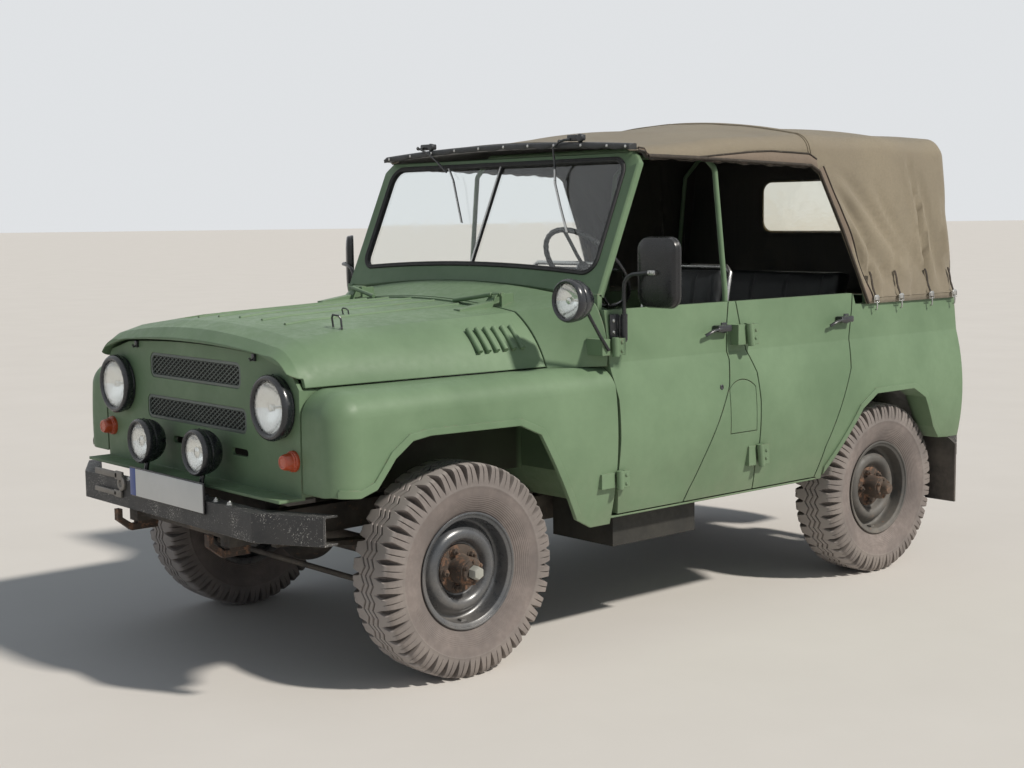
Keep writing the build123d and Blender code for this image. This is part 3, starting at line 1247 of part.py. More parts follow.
SPARE_CENTRE = (60, REAR_AXLE_Y + REAR_OVERHANG - TYRE_WIDTH / 2, 930)
WHEELS = {
    # place: centre, outward direction of the axle
    "front_left": ((TRACK / 2, FRONT_AXLE_Y, HUB_HEIGHT), (1, 0, 0)),
    "front_right": ((-TRACK / 2, FRONT_AXLE_Y, HUB_HEIGHT), (-1, 0, 0)),
    "rear_left": ((TRACK / 2, REAR_AXLE_Y, HUB_HEIGHT), (1, 0, 0)),
    "rear_right": ((-TRACK / 2, REAR_AXLE_Y, HUB_HEIGHT), (-1, 0, 0)),
    "spare": (SPARE_CENTRE, (0, 1, 0)),
}

for place, (centre, outwards) in WHEELS.items():
    hub = Plane(origin=centre, x_dir=(0, 0, 1), z_dir=outwards)
    save(hub.location * tyre_pattern.part, f"tyre_{place}")
    save(hub.location * rim_pattern.part, f"rim_{place}")


# Swing-out carrier of the spare wheel
CARRIER_HINGE = (-718, at(2925))

with BuildPart() as spare_carrier:
    for height in (720, 1040):
        rod((CARRIER_HINGE[0], CARRIER_HINGE[1], height), (460, CARRIER_HINGE[1], height), 16)
    rod((CARRIER_HINGE[0], CARRIER_HINGE[1], 690), (CARRIER_HINGE[0], CARRIER_HINGE[1], 1070), 16)
    for x in (-200, 320):
        rod((x, CARRIER_HINGE[1], 720), (x, CARRIER_HINGE[1], 1040), 14)
    block((-200, 320), (at(2917), at(2933)), (860, 1000))
    rod((SPARE_CENTRE[0], at(2925), SPARE_CENTRE[2]), (SPARE_CENTRE[0], SPARE_CENTRE[1] + 40, SPARE_CENTRE[2]), 22)
    rod((SPARE_CENTRE[0], SPARE_CENTRE[1] - 100, SPARE_CENTRE[2]),
        (SPARE_CENTRE[0], SPARE_CENTRE[1] - 62, SPARE_CENTRE[2]), 60)
save(spare_carrier.part, "spare_carrier")
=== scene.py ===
"""Looks of a soft-top army 4x4 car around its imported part: +X is its left side, +Y runs rearwards, +Z is up, metres."""

import json
import logging
from dataclasses import dataclass
from enum import Enum
from math import atan2, cos, exp, hypot, pi, radians, sin, tau
from typing import Iterable, Sequence

import bmesh
import bpy
from mathutils import Matrix, Vector, noise

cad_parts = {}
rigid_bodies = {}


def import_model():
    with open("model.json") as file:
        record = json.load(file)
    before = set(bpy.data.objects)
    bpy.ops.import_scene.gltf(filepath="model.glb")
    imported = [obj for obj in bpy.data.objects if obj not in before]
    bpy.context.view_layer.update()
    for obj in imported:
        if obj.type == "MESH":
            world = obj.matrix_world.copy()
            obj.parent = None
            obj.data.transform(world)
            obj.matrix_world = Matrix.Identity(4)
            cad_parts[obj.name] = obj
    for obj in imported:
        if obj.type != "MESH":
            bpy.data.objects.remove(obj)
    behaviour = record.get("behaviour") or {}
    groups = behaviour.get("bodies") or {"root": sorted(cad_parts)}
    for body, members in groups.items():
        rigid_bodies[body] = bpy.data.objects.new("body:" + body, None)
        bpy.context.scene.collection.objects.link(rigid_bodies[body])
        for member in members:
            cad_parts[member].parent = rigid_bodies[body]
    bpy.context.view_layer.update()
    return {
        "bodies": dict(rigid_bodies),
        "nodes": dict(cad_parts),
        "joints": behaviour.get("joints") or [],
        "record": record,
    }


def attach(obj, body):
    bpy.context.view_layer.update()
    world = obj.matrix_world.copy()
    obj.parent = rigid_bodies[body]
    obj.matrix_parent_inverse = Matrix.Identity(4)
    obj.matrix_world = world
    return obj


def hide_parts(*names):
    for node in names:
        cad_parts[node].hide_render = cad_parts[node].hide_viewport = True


LOG = logging.getLogger("army_car")
Colour = tuple[float, float, float]
Point = tuple[float, float, float]
Pair = tuple[float, float]
Tree, Node, Socket = bpy.types.NodeTree, bpy.types.Node, bpy.types.NodeSocket
Material, Piece = bpy.types.Material, bpy.types.Object
Sockets = dict[str, Socket]

FRONT_AXLE_Y = -1.2525
REAR_AXLE_Y = 1.1275
HUB_HEIGHT = 0.38
HALF_TRACK = 0.724
# Near-black painted shade for the notches of the tyre's tread.
CAVITY_SHADE_TONE = (0.03, 0.026, 0.023)
DUST_TONE: Colour = (0.34, 0.29, 0.235)
RUST_TONE: Colour = (0.135, 0.062, 0.034)


def at(station: float) -> float:
    """Y of a station, which is a distance behind the front axle."""
    return FRONT_AXLE_Y + station


class Body(Enum):
    """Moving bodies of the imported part."""

    CHASSIS = "chassis"
    HOOD = "hood_lid"
    FRONT_DOOR_LEFT = "front_door_left"
    FRONT_DOOR_RIGHT = "front_door_right"
    REAR_DOOR_LEFT = "rear_door_left"
    REAR_DOOR_RIGHT = "rear_door_right"
    HAND_WHEEL = "hand_wheel"
    SPARE_ARM = "spare_arm"


class Graph:
    """Adds and links the nodes of one tree."""

    def __init__(self, tree: Tree) -> None:
        """Args:
            tree: The node tree to build in.
        """
        self.tree = tree

    def add(self, kind: str, inputs: dict | None = None, **settings: object) -> Node:
        """Adds a node.

        Args:
            kind: Blender's name of the node type, without ShaderNode in front.
            inputs: Values or sockets by input name or number.
            settings: Properties to set on the node.

        Returns:
            The new node.
        """
        node = self.tree.nodes.new(kind if kind.startswith("NodeGroup") else f"ShaderNode{kind}")
        for key, value in settings.items():
            setattr(node, key, value)
        for key, value in (inputs or {}).items():
            if isinstance(value, Socket):
                self.tree.links.new(value, node.inputs[key])
            else:
                node.inputs[key].default_value = value
        return node

    def math(self, operation: str, first: object, second: object = 0.0) -> Socket:
        """Result of one Math node on two values or sockets."""
        return self.add("Math", {0: first, 1: second}, operation=operation).outputs[0]

    def times(self, first: object, second: object) -> Socket:
        """Product of two values or sockets."""
        return self.math("MULTIPLY", first, second)

    def plus(self, first: object, second: object) -> Socket:
        """Sum of two values or sockets."""
        return self.math("ADD", first, second)

    def minus(self, first: object, second: object) -> Socket:
        """Difference of two values or sockets."""
        return self.math("SUBTRACT", first, second)

    def clamp(self, value: object) -> Socket:
        """Value held between 0 and 1."""
        return self.math("MINIMUM", self.math("MAXIMUM", value, 0.0), 1.0)

    def link(self, value: Socket, node: Node, name: str) -> None:
        """Links a socket to a node's input of that name."""
        self.tree.links.new(value, node.inputs[name])

    def place(self, axis: str, space: str = "Object") -> Socket:
        """One coordinate of the shaded place, in object space or another."""
        return self.add("SeparateXYZ", {0: self.add("TexCoord").outputs[space]}).outputs[axis]

    def kept(self, name: str) -> Socket:
        """Value that the mesh keeps under that name."""
        return self.add("Attribute", attribute_name=name).outputs["Fac"]

    def span(self, value: object, low: float, high: float) -> Socket:
        """Value eased from 0 at low to 1 at high."""
        node = self.add("MapRange", {"Value": value, "From Min": low, "From Max": high},
                        interpolation_type="SMOOTHSTEP")
        return node.outputs[0]

    def mix(self, share: object, first: object, second: object) -> Socket:
        """Colour between two colours by a share."""
        pair = [(*c, 1.0) if isinstance(c, tuple) else c for c in (first, second)]
        node = self.add("Mix", {0: share, 6: pair[0], 7: pair[1]}, data_type="RGBA")
        return node.outputs[2]

    def noise(self, scale: object, detail: float = 4.0, roughness: float = 0.55) -> Socket:
        """Value of a noise texture in object space."""
        vector = self.add("TexCoord").outputs["Object"]
        node = self.add("TexNoise", {"Vector": vector, "Scale": scale, "Detail": detail,
                                               "Roughness": roughness})
        return node.outputs["Fac"]


class Effects:
    """Shader node groups that several finishes share. Each is built once, by the method of its name."""

    GROUPS = {
        # name: inputs, outputs
        "edge_wear": (("Width", "Breakup", "Amount"), ("Mask", "Normal")),
        "road_dust": (("Low", "High", "Scale", "Top"), ("Mask",)), "well_mud_and_shade": ((), ("Mask",)),
        "clouding": (("Scale",), ("Fac",)), "chips": (("Scale", "Amount"), ("Mask",)),
        "grain": (("Scale", "Dents"), ("Height",)), "hide_grain": (("Scale",), ("Height",)),
        "weave": (("Threads",), ("Height", "Fac")), "rings": (("Pitch",), ("Height",)),
    }

    def __init__(self) -> None:
        """Starts with no group built."""
        self._built: dict[str, Tree] = {}

    def tree(self, name: str) -> Tree:
        """The group of that name, built on first use; Normal is a vector and its other sockets are numbers."""
        if name not in self._built:
            inputs, outputs = self.GROUPS[name]
            tree = bpy.data.node_groups.new(name, "ShaderNodeTree")
            for label in inputs:
                tree.interface.new_socket(label, in_out="INPUT", socket_type="NodeSocketFloat")
            for label in outputs:
                kind = "NodeSocketVector" if label == "Normal" else "NodeSocketFloat"
                tree.interface.new_socket(label, in_out="OUTPUT", socket_type=kind)
            graph = Graph(tree)
            entry, leave = graph.add("NodeGroupInput"), graph.add("NodeGroupOutput")
            made = getattr(self, f"_{name}")(graph, {label: entry.outputs[label] for label in inputs})
            for label, value in zip(outputs, made):
                graph.link(value, leave, label)
            self._built[name] = tree
        return self._built[name]

    def place(self, graph: Graph, name: str, **values: float) -> Node:
        """Places a group in a material.

        Args:
            graph: The material's graph.
            name: Name of the group.
            values: Its number inputs.

        Returns:
            The group node.
        """
        node = graph.add("Group", node_tree=self.tree(name))
        for label, value in values.items():
            node.inputs[label.title()].default_value = value
        return node

    def _edge_wear(self, graph: Graph, socket: Sockets) -> Sequence[Socket]:
        """Paint rubbed through along edges, and a rounded normal there."""
        rounded = graph.add("Bevel", {"Radius": socket["Width"]}, samples=4).outputs[0]
        flat = graph.add("NewGeometry").outputs["Normal"]
        dot = graph.add("VectorMath", {0: rounded, 1: flat}, operation="DOT_PRODUCT").outputs["Value"]
        turned = graph.span(graph.minus(1.0, dot), 0.03, 0.2)
        broken = graph.noise(socket["Breakup"], 6.0, 0.7)
        limit = graph.minus(1.0, socket["Amount"])
        shown = graph.clamp(graph.times(graph.minus(broken, limit), 8.0))
        return graph.times(turned, shown), rounded

    def _road_dust(self, graph: Graph, socket: Sockets) -> Sequence[Socket]:
        """Dust thrown up from below, and dust that settles on top."""
        height = graph.place("Z")
        rise = graph.math("DIVIDE", graph.minus(socket["High"], height), graph.minus(socket["High"], socket["Low"]))
        rise = graph.span(rise, 0.0, 1.0)
        cloud = graph.noise(socket["Scale"], 7.0, 0.65)
        thrown = graph.times(rise, graph.span(cloud, 0.25, 0.75))
        facing = graph.add("SeparateXYZ", {0: graph.add("NewGeometry").outputs["Normal"]})
        fine = graph.noise(graph.times(socket["Scale"], 6.0), 5.0, 0.7)
        lying = graph.times(graph.span(facing.outputs["Z"], 0.4, 1.0), graph.span(fine, 0.3, 0.8))
        lying = graph.times(lying, socket["Top"])
        return (graph.math("MINIMUM", graph.plus(thrown, lying), 1.0),)

    def _well_mud_and_shade(self, graph: Graph, _: Sockets) -> Sequence[Socket]:
        """Painted shade with mud: a mask over the inner sides of the wheel arches and the floor between them."""
        inner = graph.minus(1.0, graph.span(graph.math("ABSOLUTE", graph.place("X")), 0.78, 0.815))
        low = graph.minus(1.0, graph.span(graph.place("Z"), 0.9, 0.99))
        near = [graph.math("ABSOLUTE", graph.minus(graph.place("Y"), axle)) for axle in (FRONT_AXLE_Y, REAR_AXLE_Y)]
        close = graph.minus(1.0, graph.span(graph.math("MINIMUM", *near), 0.54, 0.57))
        return (graph.times(graph.times(inner, low), close),)

    def _clouding(self, graph: Graph, socket: Sockets) -> Sequence[Socket]:
        """Slow uneven tone, as brushed and faded paint has."""
        return (graph.span(graph.noise(socket["Scale"], 8.0, 0.62), 0.3, 0.7),)

    def _chips(self, graph: Graph, socket: Sockets) -> Sequence[Socket]:
        """Small chips and specks."""
        speck = graph.noise(socket["Scale"], 3.0, 0.8)
        patch = graph.noise(graph.times(socket["Scale"], 0.06), 2.0, 0.5)
        spread = graph.plus(graph.times(patch, 0.5), 0.25)
        limit = graph.minus(1.0, graph.times(socket["Amount"], spread))
        return (graph.clamp(graph.times(graph.minus(speck, limit), 14.0)),)

    def _grain(self, graph: Graph, socket: Sockets) -> Sequence[Socket]:
        """Height of a fine grain over slow dents."""
        fine = graph.noise(socket["Scale"], 2.0, 0.6)
        return (graph.plus(fine, graph.times(graph.noise(5.0, 2.0, 0.5), socket["Dents"])),)

    def _hide_grain(self, graph: Graph, socket: Sockets) -> Sequence[Socket]:
        """Height of the pebbled grain of coated cloth."""
        place = graph.add("TexCoord").outputs["Object"]
        cells = graph.add("TexVoronoi", {"Vector": place, "Scale": socket["Scale"]},
                          feature="DISTANCE_TO_EDGE")
        return (graph.span(cells.outputs["Distance"], 0.0, 0.16),)

    def _weave(self, graph: Graph, socket: Sockets) -> Sequence[Socket]:
        """Height and tone of a plain weave along the sheet's own lengths."""
        over, under = (graph.math("SINE", graph.times(graph.place(axis, "UV"), socket["Threads"])) for axis in "XY")
        height = graph.times(over, under)
        slub = graph.noise(90.0, 4.0, 0.7)
        return height, graph.span(graph.plus(graph.times(height, 0.12), slub), 0.3, 0.75)

    def _rings(self, graph: Graph, socket: Sockets) -> Sequence[Socket]:
        """Height of fine rings round the axle, from the distance kept on the mesh."""
        reach = graph.kept("reach")
        turn = graph.math("DIVIDE", graph.times(reach, tau), socket["Pitch"])
        low = graph.minus(1.0, graph.span(reach, 0.262, 0.275))
        return (graph.times(graph.math("SINE", turn), low),)


EFFECTS = Effects()


def start_material(name: str) -> tuple[Material, Graph, Node]:
    """Makes a material with one Principled shader.

    Args:
        name: Name of the material.

    Returns:
        The material, its graph and its shader node.
    """
    material = bpy.data.materials.new(name)
    material.use_nodes = True
    material.node_tree.nodes.clear()
    graph = Graph(material.node_tree)
    shader = graph.add("BsdfPrincipled")
    leave = graph.add("OutputMaterial")
    graph.link(shader.outputs[0], leave, "Surface")
    return material, graph, shader


@dataclass(frozen=True)
class SurfaceFinish:
    """A worn solid surface, such as paint, rubber, vinyl or iron."""

    name: str
    base: Colour
    shade: Colour
    roughness: float = 0.5
    spread: float = 0.12
    metallic: float = 0.0
    cloud_scale: float = 2.5
    mottle: float = 0.14
    dust: float = 0.5
    dust_top: float = 0.12
    dust_low: float = 0.2
    dust_high: float = 0.9
    dust_tone: Colour = DUST_TONE
    wear_tone: Colour = (0.11, 0.075, 0.05)
    wear: float = 0.46
    wear_width: float = 0.004
    chip_tone: Colour = (0.3, 0.29, 0.24)
    chips: float = 0.0
    chip_scale: float = 260.0
    rust: float = 0.0
    grain_scale: float = 700.0
    dents: float = 3.0
    bump: float = 0.12
    hide: bool = False
    rings: bool = False
    cavity_shade: float = 0.0
    coat: float = 0.0
    gloss: float = 0.5
    well_mud_and_shade_tone: Colour | None = None
    tread_wear_and_light_tone: Colour | None = None

    def build(self) -> Material:
        """Makes the finish as a material."""
        material, graph, shader = start_material(self.name)
        cloud = EFFECTS.place(graph, "clouding", scale=self.cloud_scale).outputs["Fac"]
        colour = graph.mix(cloud, self.shade, self.base)
        fine = EFFECTS.place(graph, "clouding", scale=self.cloud_scale * 14).outputs["Fac"]
        tint = tuple((1 - self.mottle) * c for c in self.base)
        colour = graph.mix(graph.times(fine, 0.14 + self.mottle), colour, tint)
        if self.rust:
            bloom = graph.span(graph.noise(34.0, 8.0, 0.72), 1 - self.rust, 1.12 - self.rust)
            speckled = graph.mix(graph.noise(260.0, 3.0), RUST_TONE, (0.24, 0.13, 0.075))
            colour = graph.mix(bloom, colour, speckled)
        dust = EFFECTS.place(graph, "road_dust", low=self.dust_low, high=self.dust_high, scale=5.0,
                             top=self.dust_top).outputs["Mask"]
        dust = graph.times(dust, self.dust)
        colour = graph.mix(dust, colour, self.dust_tone)
        # Painted shade with mud: near black inside the wheel arches and on the floor between them, mottled by the
        # clouding.
        if self.well_mud_and_shade_tone:
            well = EFFECTS.place(graph, "well_mud_and_shade").outputs["Mask"]
            well = graph.times(well, graph.plus(0.72, graph.times(cloud, 0.28)))
            colour = graph.mix(well, colour, self.well_mud_and_shade_tone)
        # Lug tops lightened towards a pale grey: worn rubber, and painted light on the tread.
        if self.tread_wear_and_light_tone:
            reach = graph.kept("reach")
            rubbed = graph.times(graph.span(reach, 0.366, 0.379), 0.75)
            colour = graph.mix(rubbed, colour, self.tread_wear_and_light_tone)
        if self.chips:
            chips = EFFECTS.place(graph, "chips", scale=self.chip_scale, amount=self.chips).outputs["Mask"]
            colour = graph.mix(chips, colour, self.chip_tone)
        # Painted shade: the tread's notches darken towards near black, the more the deeper they lie.
        if self.cavity_shade:
            deep = graph.kept("cavity_shade")
            deep = graph.times(graph.span(deep, 0.25, 1.0), self.cavity_shade)
            colour = graph.mix(deep, colour, CAVITY_SHADE_TONE)
        edge = EFFECTS.place(graph, "edge_wear", width=self.wear_width, breakup=38.0, amount=self.wear)
        colour = graph.mix(edge.outputs["Mask"], colour, self.wear_tone)
        graph.link(colour, shader, "Base Color")
        rough = graph.plus(graph.times(fine, self.spread), self.roughness - self.spread / 2)
        rough = graph.plus(rough, graph.times(dust, 0.3))
        graph.link(graph.math("MINIMUM", rough, 1.0), shader, "Roughness")
        shader.inputs["Metallic"].default_value = self.metallic
        shader.inputs["Specular IOR Level"].default_value = self.gloss
        shader.inputs["Coat Weight"].default_value = self.coat
        shader.inputs["Coat Roughness"].default_value = 0.25
        if self.hide:
            height = EFFECTS.place(graph, "hide_grain", scale=self.grain_scale).outputs["Height"]
        elif self.rings:
            height = EFFECTS.place(graph, "rings", pitch=0.0066).outputs["Height"]
        else:
            height = EFFECTS.place(graph, "grain", scale=self.grain_scale, dents=self.dents).outputs["Height"]
        bump = graph.add("Bump", {"Strength": self.bump, "Distance": 0.002, "Height": height,
                                            "Normal": edge.outputs["Normal"]})
        graph.link(bump.outputs[0], shader, "Normal")
        return material


@dataclass(frozen=True)
class ClothFinish:
    """Proofed cloth with its weave, stains and faded tops."""

    name: str
    base: Colour
    shade: Colour
    threads: float = 2600.0
    sheen: float = 0.18

    def build(self) -> Material:
        """Makes the finish as a material."""
        material, graph, shader = start_material(self.name)
        weave = EFFECTS.place(graph, "weave", threads=self.threads)
        cloud = EFFECTS.place(graph, "clouding", scale=2.2).outputs["Fac"]
        colour = graph.mix(cloud, self.shade, self.base)
        colour = graph.mix(graph.times(weave.outputs["Fac"], 0.35), colour, tuple(0.72 * c for c in self.shade))
        stain = graph.span(graph.noise(3.4, 7.0, 0.7), 0.55, 0.8)
        colour = graph.mix(graph.times(stain, 0.3), colour, (0.12, 0.095, 0.06))
        dust = EFFECTS.place(graph, "road_dust", low=1.1, high=1.5, scale=6.0, top=0.35).outputs["Mask"]
        colour = graph.mix(graph.times(dust, 0.3), colour, DUST_TONE)
        graph.link(colour, shader, "Base Color")
        rough = graph.plus(graph.times(cloud, 0.12), 0.72)
        graph.link(rough, shader, "Roughness")
        shader.inputs["Sheen Weight"].default_value = self.sheen
        crease = graph.times(graph.noise(16.0, 5.0, 0.6), 3.0)
        height = graph.plus(graph.times(weave.outputs["Height"], 0.35), crease)
        bump = graph.add("Bump", {"Strength": 0.3, "Distance": 0.0025, "Height": height})
        graph.link(bump.outputs[0], shader, "Normal")
        return material


@dataclass(frozen=True)
class GlassFinish:
    """Clear sheet, lamp glass or film that light passes through."""

    name: str
    tint: Colour
    roughness: float = 0.02
    smear: float = 0.05
    flutes: float = 0.0
    waves: float = 0.0

    def build(self) -> Material:
        """Makes the finish as a material."""
        material, graph, shader = start_material(self.name)
        shader.inputs["Base Color"].default_value = (*self.tint, 1.0)
        shader.inputs["Transmission Weight"].default_value = 1.0
        shader.inputs["IOR"].default_value = 1.45
        smear = graph.times(graph.span(graph.noise(7.0, 6.0, 0.7), 0.45, 0.8), self.smear)
        graph.link(graph.plus(smear, self.roughness), shader, "Roughness")
        if self.flutes:
            height = graph.math("ABSOLUTE", graph.math("SINE", graph.times(graph.place("X"), self.flutes)))
        else:
            height = graph.noise(4.0 + 10 * self.waves, 3.0, 0.5)
        depth = 0.0007 if self.flutes else 0.0006 + 0.02 * self.waves
        bump = graph.add("Bump", {"Strength": 0.5, "Distance": depth, "Height": height})
        graph.link(bump.outputs[0], shader, "Normal")
        clear = graph.add("BsdfTransparent", {"Color": (*self.tint, 1.0)})
        ray = graph.add("LightPath").outputs["Is Shadow Ray"]
        both = graph.add("MixShader", {0: ray, 1: shader.outputs[0], 2: clear.outputs[0]})
        leave = next(node for node in graph.tree.nodes if node.type == "OUTPUT_MATERIAL")
        graph.link(both.outputs[0], leave, "Surface")
        return material


class Finishes:
    """The car's finishes by name, for the record's material slots and the trim of small pieces."""

    SURFACES = (
        # Body paint: its wheel arches are darkened to near black, as painted shade with mud.
        SurfaceFinish("body_paint", (0.18, 0.266, 0.158), (0.124, 0.194, 0.109), 0.47, spread=0.16, dust=0.24,
            dust_low=0.3, dust_high=0.85, dust_top=0.05, gloss=0.27, wear=0.49, well_mud_and_shade_tone=(0.042, 0.036, 0.03),
            wear_tone=(0.2, 0.165, 0.11), wear_width=0.005, chips=0.5, chip_tone=(0.075, 0.08, 0.055), dents=6.5,
            cloud_scale=2.1),
        SurfaceFinish("frame_black", (0.04, 0.035, 0.03), (0.02, 0.018, 0.017), 0.7, dust_high=1.0, rust=0.42, bump=0.3,
            wear_tone=(0.1, 0.06, 0.04)),
        # Near black that stands for shade: the fuel tanks under the sills and the sheet behind the grilles, with some
        # rust and wear.
        SurfaceFinish("shade_black", (0.016, 0.017, 0.014), (0.01, 0.01, 0.009), 0.7, dust=0.1, rust=0.2, bump=0.2,
            wear_tone=(0.05, 0.04, 0.03)),
        SurfaceFinish("black_trim", (0.028, 0.03, 0.034), (0.017, 0.018, 0.021), 0.3, dust=0.16, dust_top=0.3,
            chips=0.52, chip_tone=(0.3, 0.29, 0.27), chip_scale=480.0, wear=0.5, wear_tone=(0.2, 0.19, 0.17), bump=0.14,
            coat=0.2),
        SurfaceFinish("bumper_black", (0.036, 0.038, 0.041), (0.02, 0.021, 0.023), dust=0.18, dust_top=0.2, chips=0.79,
            chip_tone=(0.56, 0.54, 0.5), chip_scale=185.0, wear=0.55, wear_tone=(0.34, 0.33, 0.3), wear_width=0.003,
            bump=0.22, gloss=0.4),
        # Tyre: the notches are darkened as painted shade, and the lug tops lightened as worn rubber and as painted
        # light.
        SurfaceFinish("tyre", (0.285, 0.25, 0.234), (0.155, 0.138, 0.13), 0.86, dust=0.26, mottle=0.36, dust_low=0.0,
            dust_high=0.8, dust_top=0.1, wear=0.5, wear_tone=(0.3, 0.262, 0.235), wear_width=0.002, grain_scale=420.0,
            bump=0.25, chips=0.2, cavity_shade=0.36, gloss=0.3, tread_wear_and_light_tone=(0.4, 0.365, 0.345)),
        SurfaceFinish("tyre_side", (0.27, 0.226, 0.207), (0.122, 0.106, 0.1), 0.84, dust=0.08, mottle=0.42,
            dust_low=0.0, dust_high=0.8, wear=0.3, wear_width=0.002, rings=True, bump=0.3),
        SurfaceFinish("rim_dark", (0.07, 0.078, 0.09), (0.036, 0.042, 0.05), 0.26, dust=0.35, dust_high=0.7, chips=0.62,
            chip_tone=(0.42, 0.4, 0.38), wear=0.55, wear_tone=(0.2, 0.18, 0.16), bump=0.16, rust=0.2, coat=0.6),
        SurfaceFinish("rim_grey", (0.085, 0.083, 0.078), (0.058, 0.057, 0.055), 0.55, dust=0.4, dust_high=0.8,
            chips=0.5, rust=0.4, wear=0.5, bump=0.2),
        SurfaceFinish("rusty_iron", (0.075, 0.05, 0.037), (0.035, 0.026, 0.021), 0.85, rust=0.5, dust=0.2, bump=0.6,
            grain_scale=260.0, wear=0.5, wear_tone=(0.2, 0.13, 0.09)),
        SurfaceFinish("pale_cap", (0.42, 0.42, 0.37), (0.3, 0.3, 0.27), 0.6, chips=0.5, chip_tone=(0.12, 0.11, 0.1),
            bump=0.2, dust=0.2),
        SurfaceFinish("vinyl", (0.021, 0.023, 0.024), (0.014, 0.015, 0.016), 0.4, dust=0.0, dust_top=0.3, hide=True,
            grain_scale=420.0, bump=0.25, wear=0.25, wear_tone=(0.07, 0.07, 0.065)),
        SurfaceFinish("rubber", (0.027, 0.027, 0.028), (0.018, 0.018, 0.019), 0.66, dust_top=0.2, bump=0.25, wear=0.35,
            wear_tone=(0.1, 0.095, 0.09)),
        SurfaceFinish("steel", (0.23, 0.22, 0.205), (0.15, 0.142, 0.132), 0.45, metallic=0.75, dust=0.4, rust=0.35,
            bump=0.25, wear=0.4, wear_tone=(0.4, 0.38, 0.35)),
        SurfaceFinish("bright_steel", (0.56, 0.56, 0.54), (0.42, 0.42, 0.41), 0.3, metallic=0.9, dust=0.0, dust_top=0.1,
            chips=0.25, chip_tone=(0.14, 0.1, 0.08), wear=0.2),
        SurfaceFinish("mesh", (0.15, 0.175, 0.155), (0.09, 0.112, 0.098), 0.45, dust=0.2, dust_top=0.2, wear=0.4,
            wear_tone=(0.08, 0.085, 0.08), bump=0.2),
        SurfaceFinish("lamp_black", (0.02, 0.022, 0.027), (0.013, 0.015, 0.018), 0.26, dust=0.15, dust_top=0.35,
            chips=0.3, chip_tone=(0.25, 0.25, 0.24), wear=0.42, wear_tone=(0.16, 0.165, 0.17), coat=0.3, bump=0.08),
        SurfaceFinish("bakelite", (0.016, 0.016, 0.017), (0.01, 0.01, 0.011), 0.28, dust=0.0, dust_top=0.2, wear=0.2,
            wear_tone=(0.06, 0.06, 0.06), bump=0.06),
        SurfaceFinish("amber", (0.56, 0.085, 0.03), (0.42, 0.055, 0.02), 0.24, dust=0.1, dust_top=0.3, wear=0.3,
            wear_tone=(0.75, 0.33, 0.17), coat=0.4, bump=0.05),
        SurfaceFinish("red_lens", (0.36, 0.018, 0.012), (0.24, 0.012, 0.008), 0.2, dust=0.3, wear=0.2, coat=0.4,
            bump=0.05),
        SurfaceFinish("plate_white", (0.66, 0.67, 0.66), (0.56, 0.57, 0.56), 0.35, dust=0.35, wear=0.2, coat=0.2,
            bump=0.05, chips=0.1),
        SurfaceFinish("plate_blue", (0.014, 0.065, 0.32), (0.011, 0.05, 0.26), 0.35, dust=0.3, wear=0.2, coat=0.2,
            bump=0.05),
        SurfaceFinish("reflector", (0.78, 0.78, 0.76), (0.66, 0.66, 0.65), 0.12, metallic=1.0, dust=0.0, dust_top=0.0,
            wear=0.0, bump=0.02, spread=0.05),
        SurfaceFinish("webbing", (0.05, 0.038, 0.028), (0.03, 0.024, 0.018), 0.85, dust=0.3, bump=0.5,
            grain_scale=900.0, wear=0.5, wear_tone=(0.3, 0.26, 0.2)),
    )
    CLOTHS = (ClothFinish("canvas", (0.275, 0.23, 0.158), (0.215, 0.178, 0.121)),
              # Near-black cloth for the sheet's inner face: painted shade under the top.
              ClothFinish("canvas_inner_shade", (0.05, 0.045, 0.036), (0.03, 0.027, 0.023)),
              ClothFinish("canvas_hem", (0.235, 0.178, 0.128), (0.17, 0.128, 0.092)))
    CLEAR = (
        GlassFinish("glass", (0.93, 0.965, 0.95)),
        GlassFinish("lens", (0.97, 0.985, 0.98), flutes=300.0),
        GlassFinish("clear_film", (0.9, 0.88, 0.76), roughness=0.09, smear=0.2, waves=0.4),
    )

    def __init__(self) -> None:
        """Starts with no finish built."""
        self._known = {finish.name: finish for finish in (*self.SURFACES, *self.CLOTHS, *self.CLEAR)}
        self._made: dict[str, Material] = {}

    def __getitem__(self, name: str) -> Material:
        """The finish of that name, built on first use."""
        if name not in self._made:
            self._made[name] = self._known[name].build()
        return self._made[name]


FINISHES = Finishes()


def pointing(foot: Point, direction: Point) -> Matrix:
    """Place at a foot, with +Z in a direction."""
    turn = Vector(direction).normalized().to_track_quat("Z", "Y").to_matrix().to_4x4()
    return Matrix.Translation(Vector(foot)) @ turn


def turned(x: float, y: float, z: float, degrees: float, axis: str = "X") -> Matrix:
    """Place that is turned about one axis; 90 about X takes +Z to the front, -90 to the rear."""
    return Matrix.Translation((x, y, z)) @ Matrix.Rotation(radians(degrees), 4, axis)


def axes(centre: Point, x: Vector, y: Vector, z: Vector) -> Matrix:
    """Place with its three axes given."""
    return Matrix.Translation(Vector(centre)) @ Matrix((x, y, z)).transposed().to_4x4()


def spots(points: Iterable[Point], side: int = 1) -> list[Vector]:
    """Points of the frame from (distance out, station, height) on one side of the car."""
    return [Vector((side * x, at(station), z)) for x, station, z in points]


def sweep(first: float, last: float, count: int) -> list[float]:
    """Even steps from a first value to a last one, both ends among them."""
    return [first + (last - first) * k / count for k in range(count + 1)]


def turns(count: int, ahead: float = 0.0) -> list[tuple[float, float]]:
    """Cosine and sine of evenly spaced angles round a circle, which may start a share of a step ahead."""
    return [(cos(a), sin(a)) for a in (tau * (k + ahead) / count for k in range(count))]


